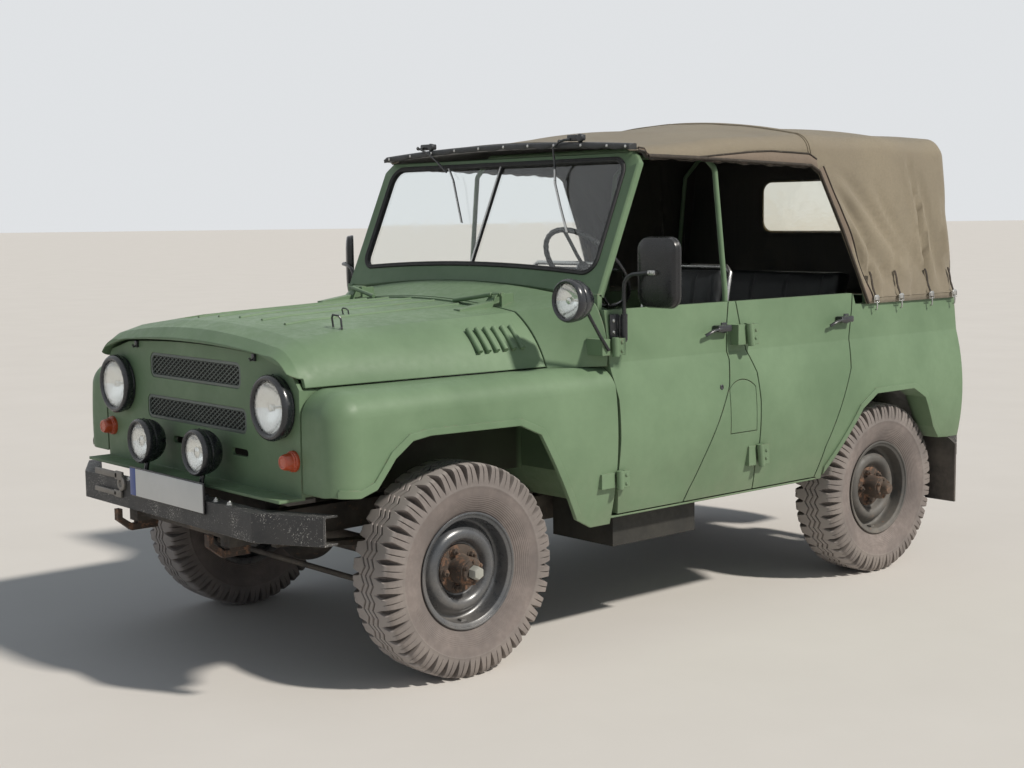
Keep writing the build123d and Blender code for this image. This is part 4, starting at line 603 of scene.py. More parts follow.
def arc_point(first: Pair, middle: Pair, last: Pair, share: float) -> Pair:
    """Point on the circle arc through three points, at a share of its way."""
    (ax, ay), (bx, by), (cx, cy) = first, middle, last
    d = 2 * (ax * (by - cy) + bx * (cy - ay) + cx * (ay - by))
    ux = ((ax**2 + ay**2) * (by - cy) + (bx**2 + by**2) * (cy - ay) + (cx**2 + cy**2) * (ay - by)) / d
    uy = ((ax**2 + ay**2) * (cx - bx) + (bx**2 + by**2) * (ax - cx) + (cx**2 + cy**2) * (bx - ax)) / d
    radius = hypot(ax - ux, ay - uy)
    start, mid, end = (atan2(y - uy, x - ux) for x, y in (first, middle, last))
    swing = (end - start) % tau
    if (mid - start) % tau > swing:
        swing -= tau
    angle = start + swing * share
    return ux + radius * cos(angle), uy + radius * sin(angle)


def ease(value: float, low: float, high: float) -> float:
    """Value eased from 0 at low to 1 at high."""
    share = min(1.0, max(0.0, (value - low) / (high - low)))
    return share * share * (3 - 2 * share)


def along(table: Sequence[Pair], value: float) -> float:
    """Second number of a table at a first number, by straight steps."""
    for (x0, y0), (x1, y1) in zip(table, table[1:]):
        if value <= x1:
            return y0 + (y1 - y0) * max(0.0, (value - x0)) / (x1 - x0)
    return table[-1][1]


class Shape:
    """A mesh in the making, in the car's frame, with the forms that its pieces share."""

    def __init__(self) -> None:
        """Starts empty."""
        self.bm = bmesh.new()

    def loops(self, rows: Sequence[Sequence[Vector]], closed: bool = True, caps: bool = False,
              ring: bool = False) -> list[list]:
        """Skins rows of points.

        Args:
            rows: Rows with the same number of points.
            closed: Whether each row closes on itself.
            caps: Whether the first and last rows are filled.
            ring: Whether the last row is joined to the first.

        Returns:
            The rows of vertices.
        """
        made = [[self.bm.verts.new(p) for p in row] for row in rows]
        count = len(rows[0])
        for near, far in zip(made, [*made[1:], made[0]] if ring else made[1:]):
            for i in range(count if closed else count - 1):
                j = (i + 1) % count
                self.bm.faces.new((near[i], near[j], far[j], far[i]))
        if caps:
            self.bm.faces.new(list(reversed(made[0])))
            self.bm.faces.new(made[-1])
        return made

    def lathe(self, profile: Sequence[Pair], place: Matrix, segments: int = 64) -> None:
        """Turns a profile of (radius, distance along +Z) about the place's Z axis."""
        self.loops([[place @ Vector((max(radius, 1e-5) * c, max(radius, 1e-5) * s, reach))
                     for c, s in turns(segments)] for radius, reach in profile])

    def tube(self, path: Sequence[Point], radius: float, sides: int = 12, flat: float = 1.0) -> None:
        """Tube along a path of points, closed at both ends.

        Args:
            path: Points that the middle line follows.
            radius: Radius of the tube.
            sides: Number of sides.
            flat: Height of the section as a share of its width.
        """
        points = [Vector(p) for p in path]
        rows, side = [], None
        for k, point in enumerate(points):
            ahead = points[min(k + 1, len(points) - 1)] - points[max(k - 1, 0)]
            ahead.normalize()
            if side is None:
                side = ahead.orthogonal().normalized()
                if abs(ahead.z) < 0.9:
                    side = ahead.cross(Vector((0, 0, 1))).normalized()
            side = (side - ahead * side.dot(ahead)).normalized()
            up = ahead.cross(side)
            rows.append([point + radius * (c * side + flat * s * up) for c, s in turns(sides)])
        self.loops(rows, caps=True)

    def block(self, low: Point, high: Point, round_: float = 0.002, place: Matrix | None = None) -> None:
        """Box between two corners with rounded edges, in the frame or in a place's own axes."""
        low, high = [min(pair) for pair in zip(low, high)], [max(pair) for pair in zip(low, high)]
        size = [h - l for l, h in zip(low, high)]
        centre = Vector([(h + l) / 2 for l, h in zip(low, high)])
        made = bmesh.ops.create_cube(self.bm, size=1.0, matrix=Matrix.Translation(centre) @ Matrix.Diagonal((*size, 1)))
        edges = list(dict.fromkeys(e for v in made["verts"] for e in v.link_edges))
        ready = bmesh.ops.bevel(self.bm, geom=edges, offset=min(round_, min(size) * 0.45), segments=2,
                                affect="EDGES", profile=0.6)
        if place is not None:
            bmesh.ops.transform(self.bm, matrix=place, verts=ready["verts"])

    def bolt(self, foot: Point, direction: Point, radius: float, height: float, sides: int = 6) -> None:
        """Bolt head with a washer, or a rivet where it has many sides."""
        place = pointing(foot, direction)
        if sides > 8:
            profile = [(radius * cos(a), height * sin(a)) for a in (0, 0.4, 0.8, 1.2, pi / 2)]
        else:
            washer = [(radius * 1.35, 0), (radius * 1.35, height * 0.2)]
            self.lathe([*washer, (0, height * 0.2)], place, 16)
            profile = [(radius, height * 0.2), (radius, height * 0.85), (radius * 0.86, height), (0, height)]
        self.lathe(profile, place, sides)

    def finish(self, name: str, finish: str, slot: str, replaces: Sequence[str] = (),
               body: Body | str = Body.CHASSIS, sharp: float = 38.0) -> Piece:
        """Turns the mesh into a piece of the car.

        Args:
            name: Name of the piece.
            finish: Name of its finish.
            slot: The record's material slot; not used.
            replaces: CAD nodes that it stands for.
            body: Body that it rides on.
            sharp: Angle in degrees above which an edge stays sharp.

        Returns:
            The new object.
        """
        bmesh.ops.remove_doubles(self.bm, verts=self.bm.verts, dist=1e-5)
        bmesh.ops.recalc_face_normals(self.bm, faces=self.bm.faces)
        for face in self.bm.faces:
            face.smooth = True
        for edge in self.bm.edges:
            edge.smooth = len(edge.link_faces) != 2 or edge.calc_face_angle(0.0) < radians(sharp)
        mesh = bpy.data.meshes.new(name)
        self.bm.to_mesh(mesh)
        self.bm.free()
        piece = bpy.data.objects.new(name, mesh)
        bpy.context.scene.collection.objects.link(piece)
        mesh.materials.append(FINISHES[finish])
        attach(piece, body.value if isinstance(body, Body) else body)
        if replaces:
            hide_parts(*replaces)
        LOG.info("%s: %d faces", name, len(mesh.polygons))
        return piece


@dataclass
class Wheel:
    """A lugged tyre on its dished rim, about an axle whose outward end is known."""

    place: str
    centre: Point
    outwards: Point
    body: Body | str
    front: bool
    lug_count: int = 40
    groove_depth: float = 0.0085
    zigzag: float = 0.009
    wall_reach: float = 0.3
    nut_ring: float = 0.07
    hub_ring: float = 0.0385

    LUGS = (
        # distance from middle plane, radius, notch half width, notch depth, finger depth, zigzag groove
        (0.0, 380.0, 0.6, 0, 0, 1), (3.6, 380.0, 0.6, 0, 0, 1), (5.0, 380.0, 0.6, 0, 0, 0), (13, 380.0, 0.6, 0, 0, 0),
        (20.4, 379.9, 0.6, 0, 0, 0), (21.8, 379.9, 0.6, 0, 0, 1), (29.4, 379.8, 0.6, 0, 0, 1),
        (30.8, 379.8, 0.6, 0, 0, 0), (40.0, 379.6, 0.8, 0, 0, 0), (47, 379.4, 3.0, 4, 0, 0),
        (54.0, 379.0, 7.0, 13, 0, 0), (68.0, 378.4, 10.5, 20, 0, 0), (80, 377.6, 13.0, 25, 1, 0),
        (88.0, 375.6, 14.5, 28, 3, 0), (95.0, 370.0, 14.5, 28, 6, 0), (100.5, 361, 13.2, 25, 7.5, 0),
        (104.5, 349.0, 11.0, 20, 7.5, 0), (107.4, 336, 8.4, 14, 6, 0), (108.6, 324, 5.6, 7, 3, 0),
        (108.8, 314.0, 3.0, 2.5, 1, 0), (108.2, 306.5, 0.8, 0, 0, 0),
    )
    WALL = (
        # distance from middle plane, radius
        (108.9, 304.0), (108.9, 302.0), (107.6, 299.5), (106.2, 290), (104.2, 278.0), (101.6, 266.0), (98.2, 254.0),
        (93.6, 242.0), (88.0, 230.0), (81.8, 219.0), (77.2, 211.5), (73.4, 204.5), (68.0, 198.0),
    )
    PLAIN = (0.6, 0, 0, 0)
    DISC_ROWS = 53
    RIM_PROFILE = (
        # radius, distance outwards from the middle plane; the first DISC_ROWS are the rim and its disc
        (26, -62), (148, -62), (151, -58), (154, -12), (166, -12), (171, -27), (178, -34), (184, -42), (184, -74),
        (190, -79), (199, -81), (207, -84), (208.5, -81), (207, -77), (200, -74), (192, -70), (192, -46), (188, -41),
        (179, -34), (179, 8), (184, 12), (192, 18), (192, 68), (194, 72), (200, 75), (206.5, 77), (208.5, 80.5),
        (207.5, 84), (204, 85), (200, 83.5), (197.5, 79.5), (192, 77.5), (186.5, 74), (184.6, 66), (184.4, 34),
        (182, 25), (177, 19), (172, 17), (167, 18), (162, 23), (156, 31), (151, 39), (145, 46), (137.5, 51.5),
        (130, 54), (122, 54), (114, 51), (107, 45), (102, 37.5), (98, 29), (94, 24), (88, 22), (62, 20.5), (58, 22),
        (53, 27), (51.5, 34), (50, 60), (49.5, 92), (47, 97), (43.5, 98), (43, 104), (40, 107), (26, 108.5), (26, 44),
    )

    def _matrix(self) -> Matrix:
        """Place whose Z runs outwards along the axle and whose X points up."""
        out, up = Vector(self.outwards), Vector((0, 0, 1))
        return axes(self.centre, up, out.cross(up), out)

    def _row(self, station: tuple, side: int, normal: tuple[float, float]) -> list[tuple[Vector, float, float]]:
        """One ring of tread points, each with its distance from the axle and how deep it lies, which sets the painted
        shade in the notches.
        """
        offset, radius, half, notch, finger, groove = station
        pitch = tau / self.lug_count
        mm = 1 / self.LUGS[0][1]
        c = pitch / 2
        w = half * mm * (0.86 if half > 4 else 1.0)
        steps = [(0, 1), (0.52 * w, 0.86), (w, 0), (w + 1.2 * mm, 0), ((w + c) / 2, 0), (c - 2.4 * mm, 0), (c, -1),
                 (c + 2.4 * mm, 0), ((3 * c - w) / 2, 0), (pitch - w - 1.2 * mm, 0), (pitch - w, 0),
                 (pitch - 0.52 * w, 0.86)]
        fall = 1 - ease(offset, 31, 46)
        row = []
        for lug in range(self.lug_count):
            for turn, kind in steps:
                depth = notch * kind if kind > 0 else finger * -kind
                depth += self.groove_depth * 1000 * groove
                angle = (lug - 0.5) * pitch + turn
                y = offset + side * fall * self.zigzag * 1000 * (1 - 4 * abs(turn / pitch - 0.5))
                y = side * y
                r = radius - depth * normal[0]
                y -= side * depth * normal[1]
                row.append((Vector((r / 1000 * cos(angle), r / 1000 * sin(angle), y / 1000)), r / 1000,
                            min(1.0, depth / 14)))
        return row

    def tyre(self) -> None:
        """Tyre with notched shoulders, zigzag ribs and ringed walls."""
        table = (*self.LUGS, *((*row, *self.PLAIN) for row in self.WALL))
        normals = []
        for k in range(len(table)):
            (y0, r0), (y1, r1) = table[max(k - 1, 0)][:2], table[min(k + 1, len(table) - 1)][:2]
            length = hypot(y1 - y0, r1 - r0) or 1.0
            normals.append(((y1 - y0) / length, -(r1 - r0) / length))
        rows = [self._row(table[k], -1, normals[k]) for k in range(len(table) - 1, 0, -1)]
        rows += [self._row(table[k], 1, normals[k]) for k in range(len(table))]
        place = self._matrix()
        shape = Shape()
        reach_layer = shape.bm.verts.layers.float.new("reach")
        # The kept depth darkens the notches as painted shade in the tyre's finish.
        cavity_shade_layer = shape.bm.verts.layers.float.new("cavity_shade")
        made = shape.loops([[place @ p for p, _, _ in row] for row in rows], ring=True)
        for line, row in zip(made, rows):
            for vertex, (_, reach, depth) in zip(line, row):
                vertex[reach_layer] = reach
                vertex[cavity_shade_layer] = depth
        piece = shape.finish(f"tyre_{self.place}_rubber", "tyre", "tyre", [f"tyre_{self.place}"], body=self.body,
                             sharp=30)
        piece.data.materials.append(FINISHES["tyre_side"])
        reach = piece.data.attributes["reach"].data
        for face in piece.data.polygons:
            if all(reach[v].value < self.wall_reach for v in face.vertices):
                face.material_index = 1

    def rim(self) -> None:
        """Rim, dished disc, hub, nuts and axle end."""
        place = self._matrix()
        paint = "rim_dark" if self.front else "rim_grey"
        shape = Shape()
        shape.lathe([(r / 1000, y / 1000) for r, y in self.RIM_PROFILE[:self.DISC_ROWS]], place, 96)
        shape.block((-0.186, -0.012, 0.026), (-0.178, 0.012, 0.05), 0.003, place)
        shape.finish(f"rim_{self.place}_disc", paint, "rim_dark", [f"rim_{self.place}"], body=self.body, sharp=32)
        hub = Shape()
        hub.lathe([(r / 1000, y / 1000) for r, y in self.RIM_PROFILE[self.DISC_ROWS - 1:]], place, 48)
        hub.lathe([(0.088, 0.0215), (0.088, 0.027), (0.084, 0.0285), (0.05, 0.029)], place, 48)
        for c, s in turns(5, 0.3):
            hub.bolt(place @ Vector((self.nut_ring * c, self.nut_ring * s, 0.028)), self.outwards, 0.0135, 0.019)
            hub.bolt(place @ Vector((self.nut_ring * c, self.nut_ring * s, 0.045)), self.outwards, 0.0065, 0.012, 12)
        for c, s in turns(6):
            hub.bolt(place @ Vector((self.hub_ring * c, self.hub_ring * s, 0.1035)), self.outwards, 0.0062, 0.009)
        hub.finish(f"rim_{self.place}_hub", "rusty_iron", "rim_dark", body=self.body, sharp=32)
        cap = Shape()
        cap.lathe([(0.0255, 0.106), (0.0255, 0.128), (0.0235, 0.134), (0.021, 0.138), (0.0, 0.14)], place,
                  6 if self.front else 24)
        finish = "pale_cap" if self.front else "rusty_iron"
        cap.finish(f"rim_{self.place}_cap", finish, "rim_dark", body=self.body)

    def build(self) -> None:
        """Makes the whole wheel."""
        self.tyre()
        self.rim()


SIDES = ((1, "left"), (-1, "right"))


@dataclass
class SoftTop:
    """Canvas top: roof, rear quarters and rear wall in one sheet, with its piping, straps and window."""

    front: float = 0.876
    rear: float = 2.893
    foot_x: float = 0.857
    shoulder_x: float = 0.781
    foot_z: float = 1.214
    corner_steps: int = 18
    side_share: float = 0.45
    shoulder_share: float = 0.15
    roof_start: float = 0.6
    shoulder_drop: float = 0.07
    lip: float = 0.004

    ROOF = (
        # station, roof edge height, crown height
        (0.876, 1.868, 1.916), (1.2, 1.9, 1.957), (1.55, 1.93, 1.992), (1.94, 1.945, 2.029), (2.3, 1.945, 2.018),
        (2.893, 1.94, 1.987),
    )
    OPENING = (
        # station, height of the opening's upper edge
        (0.876, 1.858), (0.912, 1.855), (0.93, 1.832), (1.24, 1.827), (1.9, 1.807), (1.95, 1.782), (2.076, 1.535),
        (2.214, 1.214), (3.0, 1.214),
    )
    WINDOW = (0.3, 1.51, 1.77, 0.06)
    STRAPS = (2.268, 2.45, 2.68, 2.86)

    def _edge(self, station: float) -> float:
        """Height of the roof's edge at a station."""
        return along([(s, edge) for s, edge, _ in self.ROOF], station)

    def _section(self, station: float, share: float) -> Vector:
        """Point of the left half's section, from the sheet's lower edge at share 0 to the crown at 1."""
        edge = self._edge(station)
        crown = along([(s, c) for s, _, c in self.ROOF], station)
        low = max(self.foot_z, along(self.OPENING, station))
        top = edge - self.shoulder_drop
        if share < self.side_share:
            z = low + (max(top, low + self.lip) - low) * share / self.side_share
            lean = (self.shoulder_x - self.foot_x) * (min(z, top) - self.foot_z) / (top - self.foot_z)
            return Vector((self.foot_x + lean, at(station), z))
        if share < self.roof_start:
            x, z = arc_point((self.shoulder_x, top), (self.shoulder_x - 0.03, edge - 0.018),
                             (self.shoulder_x - 0.09, edge + 0.008), (share - self.side_share) / self.shoulder_share)
        else:
            x, z = arc_point((self.shoulder_x - 0.09, edge + 0.008), (0.0, crown),
                             (0.09 - self.shoulder_x, edge + 0.008), (share - self.roof_start) / 0.8)
        return Vector((x, at(station), max(z, low + self.lip)))

    CREASES = (
        # start station, start height, end station, end height, width, depth
        (2.6, 1.88, 2.69, 1.34, 0.016, 0.013), (2.66, 1.82, 2.79, 1.28, 0.02, 0.01),
        (2.11, 1.62, 2.27, 1.25, 0.018, 0.01), (2.06, 1.72, 2.42, 1.28, 0.022, 0.009),
        (2.08, 1.8, 2.6, 1.34, 0.026, 0.009), (2.3, 1.76, 2.67, 1.3, 0.02, 0.007),
        (2.26, 1.5, 2.27, 1.24, 0.012, 0.009), (2.45, 1.46, 2.45, 1.24, 0.012, 0.009),
        (2.68, 1.44, 2.68, 1.24, 0.012, 0.009), (2.84, 1.74, 2.86, 1.24, 0.014, 0.01),
        (2.36, 1.4, 2.34, 1.22, 0.014, 0.007), (2.57, 1.42, 2.56, 1.22, 0.014, 0.007),
    )
    BOWS = (0.876, 1.36, 1.94, 2.42, 2.893)

    def _crease(self, station: float, height: float) -> float:
        """Depth of the creases at a place on the side: a valley with a ridge behind it."""
        total = 0.0
        for s0, z0, s1, z1, width, depth in self.CREASES:
            ds, dz = s1 - s0, z1 - z0
            length = hypot(ds, dz)
            run = ((station - s0) * ds + (height - z0) * dz) / length**2
            off = ((station - s0) * dz - (height - z0) * ds) / length
            off += 0.008 * sin(run * 7 + s0 * 9)
            ends = ease(run, -0.05, 0.3) * (1 - ease(run, 0.8, 1.1))
            valley = exp(-((off / width) ** 2))
            ridge = exp(-(((off - 1.9 * width) / width) ** 2))
            total += 1.7 * depth * ends * (valley - 0.55 * ridge)
        return total

    def _fold(self, point: Vector, station: float) -> float:
        """How far the cloth sits in from its taut form there."""
        slack = 0.5 + 0.5 * noise.noise(Vector((abs(point.x) * 1.7, station * 2.1, point.z * 1.9)))
        sag = 0.003 + 0.006 * slack
        side = ease(abs(point.x), 0.7, 0.775)
        sag += self._crease(station, point.z) * side
        near, far = next(((a, b) for a, b in zip(self.BOWS, self.BOWS[1:]) if station <= b + 1e-6))
        between = sin(pi * min(1.0, max(0.0, (station - near) / (far - near))))
        top = ease(point.z, 1.86, 1.92)
        sag += 0.011 * between * top * (0.6 + 0.4 * ease(0.78 - abs(point.x), 0, 0.3))
        ripple = sin(abs(point.x) * 21 + 4 * noise.noise(Vector((station * 3, point.x * 2, 5))))
        sag += 0.0022 * top * between * ripple
        edge = 1 - ease(point.z - along(self.OPENING, station), 0.02, 0.09)
        if station < 1.95:
            sag += 0.003 * edge * (0.5 + 0.5 * sin(station * 41))
        return max(0.0005, sag + 0.003 * (1 - top))

    def _cut_area(self) -> float:
        """Flat area of the cut, from the tables alone: taut roof and sides, and the rear wall less its window."""
        lengths, steps = 200, 60
        lines = [[self._section(self.front + (self.rear - self.front) * k / lengths, n / steps)
                  for n in range(steps + 1)] for k in range(lengths + 1)]
        roof = sum((b[n + 1] - a[n]).cross(b[n] - a[n + 1]).length
                   for a, b in zip(lines, lines[1:]) for n in range(steps))
        wall = sum((a.x + b.x) * (b.z - a.z) for a, b in zip(lines[-1], lines[-1][1:]))
        half, low, high, corner = self.WINDOW
        return roof + wall - (2 * half * (high - low) - (4 - pi) * corner**2)

    def sheet(self) -> None:
        """The one sheet, with its folds and its rear window cut out."""
        stations = sorted({round(s, 4) for s in (*sweep(self.front, 1.86, 30), *sweep(1.86, 2.26, 26),
                                                 *sweep(2.26, self.rear - 0.03, 26), 0.912, 0.93)})
        shares = [*(self.side_share * k / 22 for k in range(22)),
                  *(self.side_share + self.shoulder_share * k / 8 for k in range(8)), *sweep(self.roof_start, 1, 20)]
        rows = []
        for station in stations:
            half = [self._section(station, share) for share in shares]
            left = []
            for k, point in enumerate(half):
                ahead, behind = half[min(k + 1, len(half) - 1)], half[max(k - 1, 0)]
                run = (ahead - behind).normalized()
                inward = Vector((-run.z, 0, run.x)) if run.length else Vector((-1, 0, 0))
                left.append((point, inward))
            both = left + [(Vector((-p.x, p.y, p.z)), Vector((-n.x, 0, n.z))) for p, n in left[-2::-1]]
            rows.append([p + n * self._fold(p, station) for p, n in both])
        wall_bottom = [Vector((p.x * 0.985, at(self.rear), self.foot_z)) for p in rows[-1]]
        rim = [Vector((p.x * 0.992, at(self.rear - 0.006), p.z - 0.012 * ease(p.z, 1.3, 1.9))) for p in rows[-1]]
        rows.append(rim)
        steps = 34
        for k in range(1, steps + 1):
            share = k / steps
            row = []
            for top, foot in zip(rim, wall_bottom):
                point = top.lerp(foot, share)
                ripple = 0.006 * sin(point.x * 13 + 1.0) * ease(share, 0, 0.3)
                point.y = at(self.rear - 0.004) - abs(ripple) - 0.004 * share * (1 - share)
                row.append(point)
            rows.append(row)
        shape = Shape()
        made = shape.loops(rows, closed=False)
        self._cut_window(shape, made[-steps - 1:])
        run = shape.bm.loops.layers.uv.new("lengths")
        for face in shape.bm.faces:
            for loop in face.loops:
                p = loop.vert.co
                loop[run].uv = (p.y + (p.x if face.normal.y > 0.7 else 0), p.z + p.x)
        piece = shape.finish("canvas_sheet", "canvas", "canvas", ["canvas_top"], sharp=60)
        top = max(piece.data.polygons, key=lambda face: face.center.z)
        if top.normal.z < 0:
            piece.data.flip_normals()
        thick = piece.modifiers.new("cloth", "SOLIDIFY")
        thick.thickness = 0.0022
        thick.offset = -1.0
        # The sheet's inner face takes the near-black cloth: painted shade under the top.
        piece.data.materials.append(FINISHES["canvas_inner_shade"])
        thick.material_offset = 1
        self._cut_area()

    def _cut_window(self, shape: Shape, wall: list[list]) -> None:
        """Takes the window's place out of the rear wall and rounds its edge."""
        half, low, high, corner = self.WINDOW

        def outside(x: float, z: float) -> float:
            """How far a place lies outside the window's edge."""
            dx = abs(x) - (half - corner)
            dz = abs(z - (low + high) / 2) - ((high - low) / 2 - corner)
            return hypot(max(dx, 0), max(dz, 0)) + min(max(dx, dz), 0) - corner

        faces = {face for row in wall for vertex in row for face in vertex.link_faces}
        doomed = [face for face in faces if outside(*face.calc_center_median().xz) < 0]
        bmesh.ops.delete(shape.bm, geom=doomed, context="FACES")
        for vertex in (v for row in wall for v in row if v.is_valid and v.is_boundary):
            distance = outside(vertex.co.x, vertex.co.z)
            if abs(distance) < 0.04 and vertex.co.z > 1.4:
                gap = 0.002
                gx = (outside(vertex.co.x + gap, vertex.co.z) - distance) / gap
                gz = (outside(vertex.co.x, vertex.co.z + gap) - distance) / gap
                vertex.co.x -= gx * distance
                vertex.co.z -= gz * distance

    def _window_line(self, grow: float) -> list[Vector]:
        """Closed line round the window, grown outwards."""
        half, low, high, corner = self.WINDOW
        middle, tall = (low + high) / 2, (high - low) / 2
        line = []
        for k in range(4 * self.corner_steps):
            quarter, step = divmod(k, self.corner_steps)
            angle = pi / 2 * (quarter + step / (self.corner_steps - 1))
            sx = 1 if quarter in (0, 3) else -1
            sz = 1 if quarter in (0, 1) else -1
            line.append(Vector((sx * (half - corner) + (corner + grow) * cos(angle), 0,
                                middle + sz * (tall - corner) + (corner + grow) * sin(angle))))
        return line

    def trim(self) -> None:
        """Hems, piping, doubled side flaps, straps, buckles and the window's band."""
        band = Shape()
        y_out = at(self.rear) + 0.001
        lines = [(0.03, -0.001), (0.028, 0.0015), (-0.006, 0.0015), (-0.008, -0.001)]
        band.loops([[Vector((p.x, y_out - 0.006 + d, p.z)) for p in self._window_line(g)] for g, d in lines])
        band.finish("window_band", "canvas", "canvas")
        for side, name in SIDES:
            edge = [(s, z) for s, z in self.OPENING if 0.93 <= s <= 2.214]
            path = []
            for (s0, z0), (s1, z1) in zip(edge, edge[1:]):
                for k in range(8):
                    s, z = s0 + (s1 - s0) * k / 8, z0 + (z1 - z0) * k / 8
                    p = self._section(max(s, self.front), 0.0)
                    path.append((side * (p.x + 0.001), at(s), z))
            path.append((side * (self.foot_x + 0.001), at(2.214), self.foot_z + 0.002))
            hem = Shape()
            hem.tube(path, 0.0065, 8)
            hem.finish(f"opening_piping_{name}", "webbing", "canvas")
            self._flap(side, name)
            self._straps(side, name)

    def _surface(self, side: int, station: float, share: float, lift: float) -> Vector:
        """Point on one side of the cloth, lifted off it."""
        here = self._section(station, share)
        ahead, behind = self._section(station, min(1.0, share + 0.01)), self._section(station, max(0.0, share - 0.01))
        run = (ahead - behind).normalized()
        out = Vector((run.z, 0, -run.x))
        here = here + out * (lift - self._fold(here, station))
        return Vector((side * here.x, here.y, here.z))

    def _flap(self, side: int, name: str) -> None:
        """Doubled band over the doors, band down the slanted edge, and the pale seam between them."""
        band, piping, seam = Shape(), Shape(), Shape()
        rows = []
        for s in sweep(0.88, 1.945, 69):
            low = along(self.OPENING, s)
            top = self._edge(s) - self.shoulder_drop
            wave = 0.003 * sin(s * 37) + 0.002 * sin(s * 83 + 1)
            share = self.side_share * min(1.0, 0.048 / max(0.05, top - low))
            mid = [self._surface(side, s, share * part, lift)
                   for part, lift in ((1.0, 0.002), (0.9, 0.005), (0.5, 0.0065), (0.1, 0.006))]
            foot = self._surface(side, s, 0.0, 0.005) + Vector((0, 0, -0.008 + wave))
            rows.append([*mid, foot, foot + Vector((-side * 0.007, 0, 0.004)),
                         mid[0] + Vector((side * 0.002, 0, 0.002))])
        band.loops([row[:6] for row in rows], closed=False)
        band.finish(f"door_flap_{name}", "canvas_hem", "canvas", sharp=70)
        piping.tube([row[6] for row in rows], 0.0038, 8)
        piping.tube([row[4] for row in rows], 0.0034, 8)
        edge, inner, outer = [], [], []
        for share in sweep(0, 1, 39):
            s = along([(0, 1.945), (0.1, 1.962), (0.5, 2.078), (1.0, 2.216)], share)
            z = along([(0, 1.79), (0.1, 1.758), (0.5, 1.53), (1.0, 1.216)], share)
            for line, shift in ((inner, 0.004), (outer, 0.042)):
                here = s + shift
                top = self._edge(here) - self.shoulder_drop
                low = max(self.foot_z, along(self.OPENING, here))
                height = self.side_share * min(1.0, max(0.0, (z + shift * 0.35 - low) / (top - low)))
                line.append(self._surface(side, here, height, 0.0035))
            edge.append([inner[-1], (inner[-1] + outer[-1]) / 2 + Vector((side * 0.0025, 0, 0)), outer[-1]])
        strip = Shape()
        strip.loops(edge, closed=False)
        strip.finish(f"slant_band_{name}", "canvas_hem", "canvas", sharp=70)
        for line in (inner, outer):
            piping.tube([p + Vector((side * 0.001, 0, 0)) for p in line], 0.0034, 8)
        piping.finish(f"dark_piping_{name}", "webbing", "canvas")
        for shift in (-0.007, 0.007):
            line = [self._surface(side, 1.885 + shift + 0.035 * (1 - share), share, 0.0012)
                    for share in (0.04 + 0.955 * k / 50 for k in range(51))]
            seam.tube(line, 0.0022, 6)
        hem = [self._surface(side, s, 0.018, 0.0012) for s in sweep(2.225, 2.885, 40)]
        seam.tube(hem, 0.0024, 6)
        seam.finish(f"canvas_seams_{name}", "canvas", "canvas")

    def _straps(self, side: int, name: str) -> None:
        """Hold-down straps of one side, with hooks and buckles."""
        straps, metal = Shape(), Shape()
        for station in self.STRAPS:
            rows = []
            for k in range(11):
                share = k / 10
                z = 1.352 - (1.352 - 1.222) * share
                lean = station - 0.03 + 0.034 * share
                x = self.foot_x + (self.shoulder_x - self.foot_x) * max(0.0, z - self.foot_z) / 0.66 + 0.0005
                y = at(lean + 0.003 * sin(k * 0.9))
                wide = 0.0045 + 0.002 * sin(k * 1.3) ** 2
                rows.append([Vector((side * (x + d), y + w, z)) for w, d in
                             ((-wide, 0), (wide, 0), (wide, 0.003), (-wide, 0.003))])
            straps.loops(rows, caps=True)
            x, y = self.foot_x + 0.004, at(station)
            metal.block((side * (x - 0.003), y - 0.012, 1.226), (side * (x + 0.003), y + 0.012, 1.25), 0.002)
            loop = [(side * x, y - 0.017, 1.242), (side * x, y + 0.017, 1.242), (side * x, y + 0.017, 1.218),
                    (side * x, y - 0.017, 1.218), (side * x, y - 0.017, 1.243)]
            metal.tube(loop, 0.0028, 8)
            hook = [(side * (x + 0.002), y, 1.222), (side * (x + 0.004), y, 1.204), (side * (x + 0.002), y, 1.188),
                    (side * (x - 0.006), y, 1.184)]
            metal.tube(hook, 0.0035, 8)
        straps.finish(f"hold_straps_{name}", "webbing", "canvas")
        metal.finish(f"strap_hooks_{name}", "bright_steel", "steel")

    def build(self) -> None:
        """Makes the whole top."""
        self.sheet()
        self.trim()


